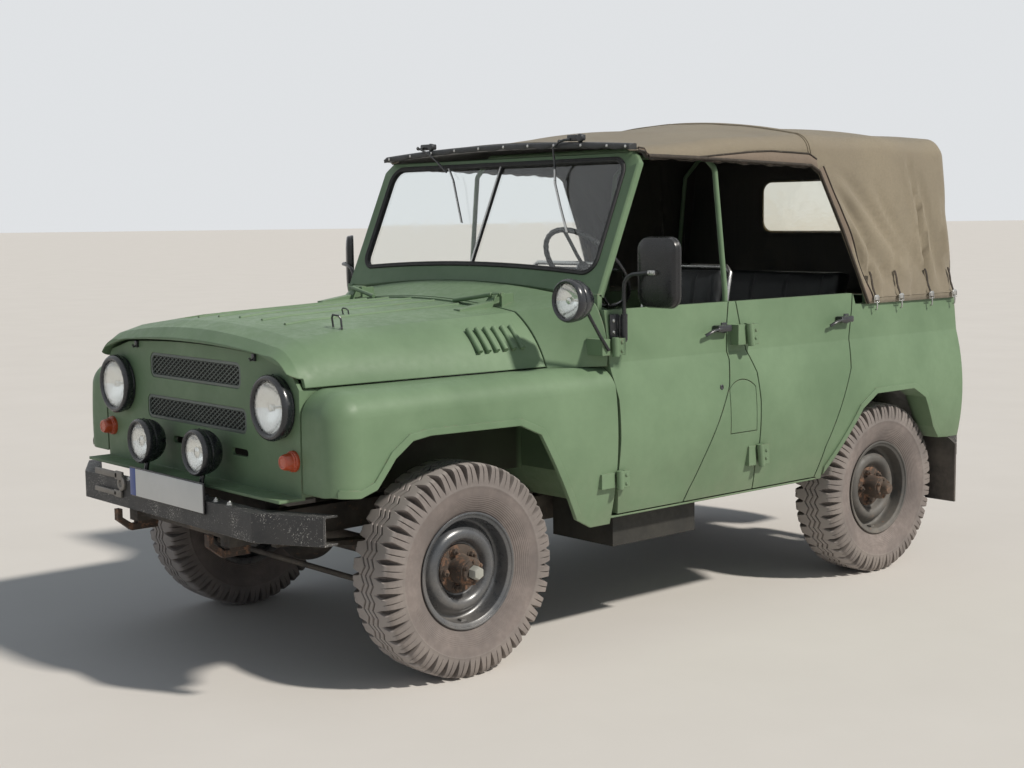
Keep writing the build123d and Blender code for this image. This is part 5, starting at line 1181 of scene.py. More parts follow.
@dataclass
class Pad:
    """One stuffed seat pad, from a rounded block that is blown up as cloth."""

    name: str
    low: Point
    high: Point
    lean: float
    replaces: tuple[str, ...] = ()
    voxel: float = 0.011
    rise: float = 0.014

    def build(self) -> Piece:
        """Makes the pad.

        Returns:
            The finished pad.
        """
        size = [h - l for l, h in zip(self.low, self.high)]
        centre = Vector([(l + h) / 2 for l, h in zip(self.low, self.high)])
        shape = Shape()
        turn = Matrix.Translation(centre) @ Matrix.Rotation(radians(self.lean), 4, "X")
        inner = [s - 2 * self.rise for s in size]
        shape.block([-s / 2 for s in inner], [s / 2 for s in inner], min(inner) * 0.24, turn)
        piece = shape.finish(self.name, "vinyl", "vinyl", self.replaces, sharp=80)
        bpy.context.view_layer.update()
        remesh = piece.modifiers.new("cells", "REMESH")
        remesh.mode = "VOXEL"
        remesh.voxel_size = self.voxel
        self._apply(piece)
        self._blow_up(piece)
        smooth = piece.modifiers.new("smooth", "SUBSURF")
        smooth.levels = smooth.render_levels = 1
        self._apply(piece)
        self._channels(piece, turn.inverted(), inner)
        for face in piece.data.polygons:
            face.use_smooth = True
        return piece

    def _apply(self, piece: Piece) -> None:
        """Puts the modifiers' result into the mesh."""
        shaped = bpy.data.meshes.new_from_object(piece.evaluated_get(bpy.context.evaluated_depsgraph_get()))
        piece.modifiers.clear()
        piece.data = shaped

    def _blow_up(self, piece: Piece) -> None:
        """Fills the pad with cloth pressure and caps how far it swells."""
        before = [v.co.copy() for v in piece.data.vertices]
        cloth = piece.modifiers.new("cloth", "CLOTH")
        cloth.settings.use_pressure = True
        cloth.settings.uniform_pressure_force = 4.0
        cloth.settings.effector_weights.gravity = 0.0
        cloth.settings.quality = 4
        cloth.point_cache.frame_start, cloth.point_cache.frame_end = 1, 20
        scene = bpy.context.scene
        for frame in range(1, 21):
            scene.frame_set(frame)
        self._apply(piece)
        scene.frame_set(1)
        for vertex, old in zip(piece.data.vertices, before):
            move = vertex.co - old
            if move.length > self.rise:
                vertex.co = old + move.normalized() * self.rise

    def _channels(self, piece: Piece, back: Matrix, inner: list[float]) -> None:
        """Presses sewn channels into the pad's face."""
        ahead = back.inverted()
        for vertex in piece.data.vertices:
            p = back @ vertex.co
            wide = inner[0] / 2
            share = p.x / (wide * 2 / 5)
            groove = exp(-((share - round(share)) * wide * 2 / 5 / 0.006) ** 2)
            inside = ease(wide - abs(p.x), 0.02, 0.05) * ease(inner[1] / 2 - abs(p.y), 0.02, 0.05)
            if p.z > 0:
                p.z -= 0.006 * groove * inside
            vertex.co = ahead @ p


@dataclass
class Seats:
    """Front seats and rear bench: pads, tube frames and legs."""

    def build(self) -> None:
        """Makes all seats."""
        frame, chrome = Shape(), Shape()
        for side, name in SIDES:
            x = side * 0.39
            Pad(f"front_seat_cushion_{name}", (x - 0.245, at(0.985), 0.772), (x + 0.245, at(1.465), 0.908), -2,
                ("front_seats",) if side > 0 else ()).build()
            Pad(f"front_seat_back_{name}", (x - 0.245, at(1.264), 1.086), (x + 0.245, at(1.798), 1.184), 81.8).build()
            frame.block((side * 0.2, at(1.04), 0.53), (side * 0.58, at(1.42), 0.774), 0.012)
            half = ((0.236, 1.4, 0.79), (0.238, 1.492, 0.9), (0.238, 1.555, 1.28), (0.228, 1.585, 1.365),
                    (0.2, 1.594, 1.388))
            chrome.tube([(x - out, at(s), z) for out, s, z in half]
                        + [(x + out, at(s), z) for out, s, z in reversed(half)], 0.0105, 12)
        for x in (-0.45, 0.0, 0.45):
            for station in (2.08, 2.38):
                frame.tube([(x, at(station), 0.63), (x, at(station), 0.8)], 0.014, 10)
        frame.finish("seat_frames", "black_trim", "frame_black")
        chrome.finish("seat_back_tubes", "bright_steel", "steel")
        Pad("rear_seat_cushion", (-0.53, at(2.0), 0.79), (0.53, at(2.44), 0.91), 0, ("rear_seat",)).build()
        Pad("rear_seat_back", (-0.53, at(2.22), 1.04), (0.53, at(2.74), 1.16), 81).build()


@dataclass
class Lamps:
    """Head, fog and search lamps with ring, bowl, reflector and glass, and the turn lamps."""

    LAMPS = (
        # name, x, front station, height, scale, bowl depth
        ("head_left", 0.55, -0.64, 0.99, 1.0, 0.036), ("head_right", -0.55, -0.64, 0.99, 1.0, 0.036),
        ("fog_left", 0.2, -0.724, 0.812, 0.74, 0.084), ("fog_right", -0.2, -0.724, 0.812, 0.74, 0.084),
        ("search", 0.9, 0.39, 1.31, 0.7, 0.1),
    )
    RING = (
        # radius of a lamp of scale 1 and distance behind the front, in mm
        (88, 16), (87.5, 4), (90, -3), (95, -7), (101, -8), (107, -4.5), (111, 2), (112, 10), (111, 18), (108.5, 26),
        (106, 28), (107.5, 31), (107, 36),
    )
    BOWL = ((87, 5), (80, 14), (68, 26), (52, 38), (34, 47), (16, 52), (0, 53))

    def _lamp(self, name: str, x: float, station: float, height: float, scale: float,
              depth: float, first: bool) -> None:
        """One lamp; its axis runs rearwards."""
        place = turned(x, at(station), height, -90)
        k = scale / 1000
        ring = [(radius * k, reach / 1000) for radius, reach in self.RING]
        if depth > 0.05:
            ring += [(105 * k, 0.045), (99 * k, 0.058), (89 * k, 0.07), (74 * k, 0.081), (55 * k, depth * 0.98),
                     (30 * k, depth + 0.0005), (0, depth + 0.001)]
        else:
            ring += [(94 * k, 0.038), (92 * k, 0.09), (70 * k, 0.099), (0, 0.1)]
        body = Shape()
        body.lathe(ring, place, 72)
        if name.startswith("fog"):
            body.tube(spots(((x, -0.7, 0.66), (x, -0.7, 0.7), (x, -0.69, 0.745))), 0.009, 12)
            body.block((x - 0.02, at(-0.72), 0.657), (x + 0.02, at(-0.68), 0.665), 0.002)
            body.bolt((x, at(-0.7), 0.7), (0, -1, 0), 0.008, 0.012)
        if name == "search":
            body.tube(spots(((x, 0.478, 1.285), (x, 0.5, 1.25), (x - 0.004, 0.56, 1.17), (x - 0.004, 0.6, 1.12))),
                      0.008, 10, flat=0.7)
        for n in range(3):
            angle = tau * n / 3 + pi / 2
            foot = (x + 109 * k * cos(angle), at(station) + 0.022, height + 109 * k * sin(angle))
            body.bolt(foot, (cos(angle), 0, sin(angle)), 0.004, 0.0035, 12)
        replaced = ["lamp_housings"] if first else []
        body.finish(f"lamp_{name}_housing", "lamp_black", "lamp_black", replaced, sharp=45)
        bowl = Shape()
        bowl.lathe([(radius * k, reach / 1000) for radius, reach in self.BOWL], place, 64)
        shield = 0.02 if name.startswith("fog") else 0.013
        bowl.lathe([(0.0, 0.006), (shield * 0.8, 0.0065), (shield, 0.009), (shield, 0.02), (shield * 0.8, 0.021),
                    (0.004, 0.022), (0.004, 0.053)], place, 32)
        bowl.finish(f"lamp_{name}_reflector", "reflector", "lens")
        glass = Shape()
        dome = [(88 * k * sin(a), 0.003 - 0.0135 * scale * cos(a) ** 0.9 if a < 1.57 else 0.003)
                for a in [pi / 2 * n / 12 for n in range(12, -1, -1)]]
        inner = [(r * 0.985, y + 0.0028) for r, y in reversed(dome)]
        glass.lathe([*dome, *inner], place, 64)
        glass.finish(f"lamp_{name}_glass", "lens", "lens", ["lamp_lenses"] if first else [], sharp=60)

    def _turn_lamps(self) -> None:
        """Amber turn lamps with a seat ring and a cone."""
        amber, seat = Shape(), Shape()
        for side in (-1, 1):
            place = turned(side * 0.64, at(-0.602), 0.818, 90)
            seat.lathe([(0.036, 0.0), (0.036, 0.008), (0.034, 0.012), (0.031, 0.013)], place, 48)
            amber.lathe([(0.0325, 0.011), (0.0325, 0.016), (0.03, 0.018), (0.0275, 0.034), (0.0245, 0.0435),
                         (0.0225, 0.0465), (0.017, 0.0472), (0.0165, 0.0455), (0.0, 0.0455)], place, 48)
        seat.finish("turn_lamp_seats", "amber", "amber")
        amber.finish("turn_lamp_lenses", "amber", "amber", ["turn_lamps"])

    def build(self) -> None:
        """Makes all lamps."""
        for number, row in enumerate(self.LAMPS):
            self._lamp(*row, first=number == 0)
        self._turn_lamps()


def rounded_line(half: float, low: float, high: float, corner: float, bow: float = 0.0, steps: int = 16,
                 runs: int = 14) -> list[Pair]:
    """Closed outline of a rounded rectangle, whose lower edge may be bowed upwards.

    Args:
        half: Half its width.
        low: Height of the lower edge at its ends.
        high: Height of the upper edge.
        corner: Corner radius.
        bow: Rise of the lower edge at its middle.
        steps: Points on each corner.
        runs: Points on each straight side.

    Returns:
        Its points, from the upper right corner round to the left.
    """
    line = []
    for quarter, (sx, sz) in enumerate(((1, 1), (-1, 1), (-1, -1), (1, -1))):
        cx = sx * (half - corner)
        cz = (high - corner) if sz > 0 else (low + corner)
        for step in range(steps):
            angle = pi / 2 * (quarter + step / (steps - 1))
            line.append((cx + corner * cos(angle), cz + corner * sin(angle)))
        last = line[-1]
        nx, nz = ((-1, 1), (-1, -1), (1, -1), (1, 1))[quarter]
        angle = pi / 2 * (quarter + 1)
        goal = (nx * (half - corner) + corner * cos(angle),
                ((high - corner) if nz > 0 else (low + corner)) + corner * sin(angle))
        for k in range(1, runs):
            line.append((last[0] + (goal[0] - last[0]) * k / runs, last[1] + (goal[1] - last[1]) * k / runs))
    middle = (low + high) / 2
    return [(x, z + bow * (1 - (x / half) ** 2) * max(0.0, min(1.0, (middle - z) / (middle - low)))) for x, z in line]


def flare_to(line: Sequence[Pair], centre: Pair, outline: Sequence[Pair]) -> list[Pair]:
    """Points where rays from a centre through a line's points meet an outer outline."""
    met = []
    for x, z in line:
        dx, dz = x - centre[0], z - centre[1]
        best = 0.0
        for (ax, az), (bx, bz) in zip(outline, [*outline[1:], outline[0]]):
            ex, ez = bx - ax, bz - az
            d = dx * ez - dz * ex
            if abs(d) < 1e-12:
                continue
            t = ((ax - centre[0]) * ez - (az - centre[1]) * ex) / d
            u = ((ax - centre[0]) * dz - (az - centre[1]) * dx) / d
            if t > 0 and -1e-6 <= u <= 1 + 1e-6:
                best = max(best, t)
        met.append((centre[0] + dx * best, centre[1] + dz * best))
    return met


@dataclass
class Windscreen:
    """Folding windscreen: frame, rubber seal, glass, divider, header cover and wipers."""

    foot_station: float = 0.635
    foot_height: float = 1.3
    length: float = 0.6002
    RIVETS = (-0.735, -0.58, -0.43, -0.27, -0.11, 0.05, 0.2, 0.355, 0.51, 0.655, 0.755)

    def _place(self) -> Matrix:
        """Plane of the screen: X across, Y up the slope, Z out to the front."""
        slope = Vector((0, 0.238, 0.551)).normalized()
        front = Vector((1, 0, 0)).cross(slope)
        return axes((0, at(self.foot_station), self.foot_height), Vector((1, 0, 0)), slope, front)

    def _ring(self, shape: Shape, place: Matrix, rows: Sequence[tuple[Sequence[Pair], float]]) -> None:
        """Closed band through several outlines, each at its own height off the plane."""
        shape.loops([[place @ Vector((x, y, h)) for x, y in line] for line, h in rows], ring=True)

    def frame(self) -> None:
        """Painted frame, seal, glass and divider."""
        place = self._place()

        def line(grow: float) -> list[Pair]:
            """The opening's outline, grown outwards."""
            return rounded_line(0.742 + grow, 0.094 - grow, 0.578 + grow, 0.072 + grow, 0.03)

        arc = [(0.8 - 1.6 * k / 40, 0.052 * (1 - (1 - 2 * k / 40) ** 2)) for k in range(41)]
        outline = [(0.8, 0.56), (0.76, self.length), (-0.76, self.length), (-0.8, 0.56), *reversed(arc)]
        outer = flare_to(line(0), (0, 0.33), outline)
        inset = flare_to(line(0), (0, 0.33), [(x * 0.9925, 0.33 + (z - 0.33) * 0.978) for x, z in outline])
        frame = Shape()
        self._ring(frame, place, [(inset, -0.0005), (outer, -0.006), (outer, -0.03), (line(-0.004), -0.03),
                                  (line(-0.006), -0.012), (line(0.004), -0.002)])
        for side in (-1, 1):
            frame.block((side * 0.764, at(0.637), 1.25), (side * 0.8, at(0.662), 1.32), 0.003)
        frame.finish("windscreen_surround", "body_paint", "body_paint", ["windscreen_frame"])
        seal = Shape()
        self._ring(seal, place, [(line(0.003), -0.004), (line(0.0005), 0.003), (line(-0.006), 0.0045),
                                 (line(-0.0075), 0.0015), (line(-0.01), 0.0015), (line(-0.012), 0.0035),
                                 (line(-0.0165), 0.0005), (line(-0.018), -0.01), (line(-0.015), -0.022),
                                 (line(-0.002), -0.026)])
        for side in (-1, 1):
            seal.block((side * 0.003, 0.125, -0.018), (side * 0.006, 0.565, -0.004), 0.002, place)
        seal.finish("windscreen_seal", "rubber", "rubber")
        strip = Shape()
        strip.block((-0.0035, 0.122, -0.014), (0.0035, 0.566, 0.0), 0.0012, place)
        strip.finish("windscreen_divider", "bright_steel", "steel")
        pane = Shape()
        edge = line(-0.015)
        front = [pane.bm.verts.new(place @ Vector((x, y, -0.0125))) for x, y in edge]
        rear = [pane.bm.verts.new(place @ Vector((x, y, -0.017))) for x, y in edge]
        pane.bm.faces.new(front)
        pane.bm.faces.new(list(reversed(rear)))
        for i in range(len(front)):
            j = (i + 1) % len(front)
            pane.bm.faces.new((front[i], rear[i], rear[j], front[j]))
        pane.finish("windscreen_pane", "glass", "glass", ["windscreen_glass"])

    def header(self) -> None:
        """Vinyl cover over the header, and its rivets."""
        cover = Shape()
        rows = []
        for k in range(121):
            x = -0.774 + 1.548 * k / 120
            crown = 0.026 * (1 - (x / 0.775) ** 2)
            low, top = 1.853 + crown, 1.8795 + crown
            near = min(abs(x - r) for r in self.RIVETS)
            scallop = 0.0028 * exp(-((near / 0.03) ** 2)) + 0.0012 * sin(x * 61)
            puff = 0.0022 * (1 - exp(-((near / 0.02) ** 2)))
            end = ease(0.775 - abs(x), 0.0, 0.012)
            trim = 0.006 * (1 - end)
            rows.append([Vector((x, at(s), z)) for s, z in (
                (0.8735, top - 0.001), (0.862, top), (0.848, top - trim * 0.5), (0.838, top - 0.0015 - trim),
                (0.8325, top - 0.006 - trim), (0.8305 + trim * 0.4, top - 0.012), (0.8325 - puff, (low + top) / 2),
                (0.8305 + trim * 0.4, low + 0.006), (0.832, low + 0.001 + scallop), (0.836, low + 0.0005 + scallop),
                (0.84, low + 0.003), (0.8735, low + 0.002))])
        cover.loops(rows, caps=True)
        cover.finish("header_cover", "vinyl", "vinyl", ["header_bar"], sharp=60)
        rivets = Shape()
        for x in self.RIVETS:
            crown = 0.026 * (1 - (x / 0.775) ** 2)
            rivets.lathe([(0.0062, -0.0004), (0.0062, 0.0004), (0.0045, 0.0016), (0.0022, 0.0022), (0, 0.0023)],
                         pointing((x, at(0.8315), 1.8665 + crown), (0, -1, 0)), 16)
        rivets.finish("header_rivets", "bright_steel", "steel")

    def wipers(self) -> None:
        """Wiper motors on the header, with arms and blades."""
        dark, pale = Shape(), Shape()
        arms = (
            # motor x, arm points and blade points as (x, station, height)
            (0.47, ((0.4, 0.825, 1.9), (0.362, 0.822, 1.876), (0.366, 0.826, 1.826), (0.378, 0.819, 1.778)),
             ((0.378, 0.815, 1.792), (0.4, 0.795, 1.737), (0.46, 0.766, 1.648), (0.545, 0.722, 1.546))),
            (-0.47, ((-0.51, 0.826, 1.908), (-0.44, 0.823, 1.884), (-0.38, 0.83, 1.842), (-0.318, 0.826, 1.8)),
             ((-0.3, 0.824, 1.815), (-0.25, 0.806, 1.764), (-0.19, 0.776, 1.682), (-0.118, 0.74, 1.588))),
        )
        for x, arm, blade in arms:
            dark.block((x - 0.05, at(0.842), 1.9005), (x + 0.028, at(0.874), 1.9255), 0.006)
            dark.lathe([(0.0165, 0.0), (0.0165, 0.01), (0.013, 0.0135), (0.0, 0.014)],
                       turned(x + 0.03, at(0.846), 1.9105, 90), 20)
            dark.tube(spots(((x - 0.03, 0.842, 1.907), (x - 0.05, 0.829, 1.905), arm[0])), 0.0055, 10)
            dark.tube(spots(arm), 0.0042, 8)
            dark.bolt((arm[0][0], at(arm[0][1]) - 0.003, arm[0][2]), (0, -1, 0), 0.006, 0.006)
            pale.tube([(p[0], at(p[1]) + 0.001, p[2]) for p in blade], 0.0042, 8, flat=0.6)
            dark.tube([(p[0], at(p[1]) + 0.0065, p[2] - 0.002) for p in blade], 0.0022, 6)
        dark.finish("wiper_arms", "black_trim", "bakelite", ["wipers"])
        pale.finish("wiper_blades", "bright_steel", "steel")

    def build(self) -> None:
        """Makes the whole windscreen."""
        self.frame()
        self.header()
        self.wipers()


@dataclass
class Mirror:
    """Door mirror on a bent tube, with its bracket."""

    name: str
    side: int
    body: Body
    centre: Point
    turn: float

    def build(self) -> None:
        """Makes the mirror."""
        place = turned(self.side * self.centre[0], at(self.centre[1]), self.centre[2], self.turn, "Z")
        line = rounded_line(0.1, -0.131, 0.131, 0.047, 0.0, 10, 6)

        def ring(scale: float, depth: float) -> list[Vector]:
            """One outline of the head, drawn in and set back."""
            tall = 1 - (1 - scale) * 0.76
            return [place @ Vector((x * scale, depth, z * tall)) for x, z in line]

        head = Shape()
        head.loops([ring(0.93, 0.0165), ring(0.945, 0.0195), ring(0.985, 0.0195), ring(1.0, 0.016), ring(1.0, 0.008),
                    ring(0.975, 0.004), ring(0.972, -0.002), ring(0.955, -0.0075), ring(0.9, -0.0115),
                    ring(0.7, -0.015), ring(0.4, -0.0168), ring(0.1, -0.0172)], caps=True)
        head.finish(f"mirror_{self.name}_shell", "bakelite", "bakelite", [f"mirror_{self.name}"], body=self.body,
                    sharp=30)
        glass = Shape()
        glass.loops([ring(0.935, 0.016), ring(0.935, 0.0174)], caps=True)
        glass.finish(f"mirror_{self.name}_glass", "reflector", "lens", body=self.body)
        stem = Shape()
        s = self.side
        knee = spots(((0.862, 0.715, 1.16), (0.862, 0.714, 1.33), (0.866, 0.714, 1.362), (0.882, 0.714, 1.384),
                      (0.905, 0.716, 1.394)), s)
        stem.tube([*knee, place @ Vector((-s * 0.022, -0.03, 0.0))], 0.0072, 12)
        stem.tube(spots(((0.862, 0.715, 1.148), (0.862, 0.715, 1.246)), s), 0.0125, 16)
        stem.tube(spots(((0.862, 0.715, 1.142), (0.862, 0.715, 1.15)), s), 0.0095, 6)
        stem.block((s * 0.8415, at(0.657), 1.152), (s * 0.8475, at(0.704), 1.246), 0.0025)
        stem.block((s * 0.8445, at(0.696), 1.16), (s * 0.856, at(0.712), 1.24), 0.003)
        stem.finish(f"mirror_{self.name}_stem", "black_trim", "black_trim", body=self.body)
        bolts = Shape()
        for height in (1.18, 1.222):
            bolts.bolt((s * 0.8475, at(0.675), height), (s, 0, 0), 0.0072, 0.005, 12)
        bolts.block((-0.026, -0.032, -0.009), (0.012, -0.0165, 0.009), 0.004, place)
        for x in (-0.018, 0.004):
            bolts.bolt(place @ Vector((x, -0.031, 0)), place.to_3x3() @ Vector((0, -1, 0)), 0.0055, 0.005)
        bolts.finish(f"mirror_{self.name}_clamp", "bright_steel", "steel", body=self.body)


@dataclass
class HoodFittings:
    """Wire handles, hinge rods and lip hooks round the hood."""

    def build(self) -> None:
        """Makes the hood's small pieces."""
        wire = Shape()
        for x, station, height, width, rise in ((0.502, -0.322, 1.2375, 0.046, 0.044),
                                                (0.262, -0.118, 1.262, 0.03, 0.024)):
            y, right, left = at(station), x - width / 2, x + width / 2
            wire.tube([(right, y, height - 0.004), (right - 0.002, y - 0.004, height + rise * 0.75),
                       (right + 0.006, y - 0.006, height + rise), (left - 0.008, y - 0.004, height + rise * 0.94),
                       (left, y, height + rise * 0.7), (left + 0.002, y + 0.002, height - 0.006)],
                      0.0036 if rise > 0.03 else 0.0028, 8)
            for end in (-1, 1):
                wire.bolt((x + end * width / 2, y, height - 0.001), (0.1, -0.05, 1), 0.0075, 0.002, 12)
        wire.finish("hood_handles", "black_trim", "black_trim", body=Body.HOOD)
        rods = Shape()
        for side in (-1, 1):
            rods.tube(spots(((0.262, 0.388, 1.291), (0.275, 0.391, 1.2925), (0.4, 0.411, 1.311),
                             (0.452, 0.419, 1.319)), side), 0.0085, 12)
            rods.tube(spots(((0.452, 0.419, 1.32), (0.492, 0.425, 1.3225)), side), 0.0035, 8)
        rods.finish("hood_hinge_rods", "body_paint", "body_paint", body=Body.HOOD)
        hooks = Shape()
        for side in (-1, 1):
            x = side * 0.416
            hooks.block((x - 0.009, at(-0.612), 1.136), (x + 0.009, at(-0.6), 1.162), 0.003)
            hooks.tube(spots(((x, -0.611, 1.142), (x, -0.62, 1.139), (x, -0.624, 1.148))), 0.004, 8)
        hooks.finish("hood_lip_hooks", "black_trim", "black_trim")


@dataclass
class Grilles:
    """Two fine diamond meshes in dark frames, over a black sheet of painted shade."""

    GRILLES = (
        # half width, underside, top
        (0.32, 1.032, 1.124), (0.35, 0.878, 0.966),
    )

    def build(self) -> None:
        """Makes both grilles."""
        mesh, shade_sheet = Shape(), Shape()
        front = at(-0.5965)
        for half, low, high in self.GRILLES:
            rise, pitch = 0.6, 0.0295
            tall = high - low
            reach = tall / rise
            count = int((2 * half + reach) / pitch)
            for lean in (1, -1):
                for k in range(count):
                    x0, z0 = -half - reach + (k + 0.5) * pitch, 0.0
                    x1, z1 = x0 + reach, tall
                    if x0 < -half:
                        z0, x0 = (-half - x0) * rise, -half
                    if x1 > half:
                        z1, x1 = z1 - (x1 - half) * rise, half
                    if x1 - x0 < 0.006:
                        continue
                    depth = front - 0.0016 * lean
                    ends = (Vector((lean * x0, depth, low + z0)), Vector((lean * x1, depth, low + z1)))
                    across = (ends[1] - ends[0]).cross(Vector((0, 1, 0))).normalized() * 0.0019
                    deep = Vector((0, 0.0008, 0))
                    mesh.loops([[p + a + d for a, d in ((across, -deep), (across, deep), (-across, deep),
                                                        (-across, -deep))] for p in ends])
            outline = rounded_line(half, low, high, 0.026, 0.0, 8, 6)
            inner = rounded_line(half - 0.011, low + 0.011, high - 0.011, 0.017, 0.0, 8, 6)
            rows = [[Vector((x, y, z)) for x, z in line] for line, y in
                    ((outline, front + 0.006), (outline, front - 0.0035), (inner, front - 0.0045),
                     (inner, front + 0.006))]
            mesh.loops(rows)
            # A flat black sheet just behind each mesh: painted shade where the grille shows the inside.
            back = [shade_sheet.bm.verts.new((x, front + 0.0065, z)) for x, z in outline]
            shade_sheet.bm.faces.new(back)
        mesh.finish("grille_meshes", "mesh", "mesh", ["grilles"], sharp=50)
        shade_sheet.finish("grille_shade_sheet", "shade_black", "mesh")


@dataclass
class DoorFittings:
    """Handles, keyholes and hinge bolts on the doors."""

    HANDLES = {
        # front and rear station, lower and upper height
        "front": (1.225, 1.3, 1.15, 1.172), "rear": (2.005, 2.085, 1.145, 1.167),
    }
    HINGES = {
        # distance out, station and height of each hinge's middle
        "front": ((0.902, 0.63, 1.13), (0.902, 0.65, 0.634)), "rear": ((0.902, 1.383, 1.132), (0.902, 1.45, 0.64)),
    }

    def build(self) -> None:
        """Makes the pieces of all doors; only the front ones have keyholes."""
        for end, row in self.HANDLES.items():
            for side, name in SIDES:
                node, body = f"door_{end}_{name}", Body(f"{end}_door_{name}")
                self._handle(node, body, side, *row)
                small = Shape()
                for hinge_x, station, height in self.HINGES[end]:
                    for rise in (-0.016, 0.016):
                        small.bolt((side * hinge_x, at(station + 0.034), height + rise), (side, 0, 0), 0.0058, 0.004)
                small.finish(f"{node}_hinge_bolts", "body_paint", "body_paint", body=body)
                if end == "front":
                    self._keyhole(node, body, side, bpy.data.objects[node])

    def _handle(self, node: str, body: Body, side: int, front: float, rear: float, low: float, high: float) -> None:
        """Handle of one door, between two stations and two heights."""
        handle = Shape()
        handle.block((side * 0.841, at(front - 0.0025), low - 0.0025),
                     (side * 0.8785, at(rear + 0.0025), high + 0.0025), 0.007)
        lever = ((0.868, front + 0.04, high - 0.012), (0.8735, front - 0.005, high - 0.013),
                 (0.8755, front - 0.035, high - 0.018), (0.872, front - 0.058, high - 0.028),
                 (0.866, front - 0.066, high - 0.034))
        handle.tube(spots(lever, side), 0.0085, 12, flat=0.7)
        handle.block((side * 0.838, at(rear - 0.024), low - 0.01),
                     (side * 0.846, at(rear + 0.008), high + 0.01), 0.003)
        handle.finish(f"{node}_handle", "black_trim", "black_trim", body=body)

    def _keyhole(self, node: str, body: Body, side: int, door: Piece) -> None:
        """Lock disc on the door's skin, found by a ray from outside."""
        into = door.matrix_world.inverted()
        start = into @ Vector((side * 1.2, at(1.236), 0.931))
        way = (into @ Vector((0, at(1.236), 0.931)) - start).normalized()
        hit, spot, _, _ = door.ray_cast(start, way)
        if not hit:
            return
        place = pointing(door.matrix_world @ spot, (side, 0, 0))
        lock = Shape()
        lock.lathe([(0.0105, -0.002), (0.0105, 0.0015), (0.009, 0.0026), (0.006, 0.0026), (0.0055, 0.0008),
                    (0.0, 0.0008)], place, 28)
        lock.finish(f"{node}_keyhole", "black_trim", "black_trim", body=body)


@dataclass
class Cabin:
    """Steering wheel, lever knobs and the tail lamps' lenses."""

    CENTRE = (0.38, 0.985, 1.396)
    FOOT = (0.38, 0.749, 1.212)
    SPOKE = ((0.02, -0.006), (0.08, -0.006), (0.14, -0.002), (0.196, 0.0))
    rim_radius: float = 0.2
    grip_radius: float = 0.0118
    finger_dents: int = 32
    rim_steps: int = 96
    spoke_count: int = 4

    def build(self) -> None:
        """Makes the driver's wheel, the knobs and the tail lamps."""
        centre, foot = spots((self.CENTRE, self.FOOT))
        column, side = (centre - foot).normalized(), Vector((1, 0, 0))
        place = axes(centre, side, column.cross(side), column)
        wheel = Shape()
        rows = []
        for k in range(self.rim_steps):
            angle = tau * k / self.rim_steps
            grip = self.grip_radius - 0.0012 * (cos(angle * self.finger_dents) < -0.3)
            out = Vector((cos(angle), sin(angle), 0))
            rows.append([place @ (out * (self.rim_radius + grip * c) + Vector((0, 0, grip * s))) for c, s in turns(12)])
        wheel.loops(rows, ring=True)
        for c, s in turns(self.spoke_count):
            wheel.tube([place @ (Vector((c, s, 0)) * reach + Vector((0, 0, rise))) for reach, rise in self.SPOKE],
                       0.0085, 12, flat=0.8)
        wheel.lathe([(0.0, 0.008), (0.018, 0.0075), (0.031, 0.004), (0.038, -0.004), (0.038, -0.014), (0.032, -0.024),
                     (0.03, -0.036), (0.0, -0.036)], place, 40)
        wheel.finish("hand_wheel_rim", "bakelite", "bakelite", ["steering_wheel"], body=Body.HAND_WHEEL)
        knobs = Shape()
        for x, station, height, radius in ((0.06, 0.96, 1.014, 0.021), (-0.06, 1.05, 0.924, 0.018)):
            spot = Matrix.Translation((x, at(station), height))
            knobs.lathe([(radius * 0.55, -radius * 1.1), (radius * 0.7, -radius * 0.7), (radius, 0),
                         (radius * 0.8, radius * 0.62), (radius * 0.4, radius * 0.93), (0, radius)], spot, 24)
        knobs.finish("lever_knobs", "bakelite", "bakelite")
        lens, ring = Shape(), Shape()
        for side_x in (-0.8, 0.8):
            for height, radius in ((0.9, 0.038), (0.81, 0.034)):
                spot = turned(side_x, at(2.893), height, -90)
                ring.lathe([(radius, 0.0), (radius, 0.016), (radius - 0.002, 0.019), (radius - 0.005, 0.019),
                            (radius - 0.006, 0.012), (0, 0.012)], spot, 40)
                lens.lathe([(radius - 0.006, 0.012), (radius - 0.0065, 0.028), (radius - 0.01, 0.034),
                            (radius - 0.014, 0.0345), (radius - 0.016, 0.0375), (radius * 0.3, 0.0395),
                            (0, 0.04)], spot, 40)
        ring.finish("tail_lamp_rings", "rubber", "lamp_black")
        lens.finish("tail_lamp_lenses", "red_lens", "red_lens", ["tail_lamps"])


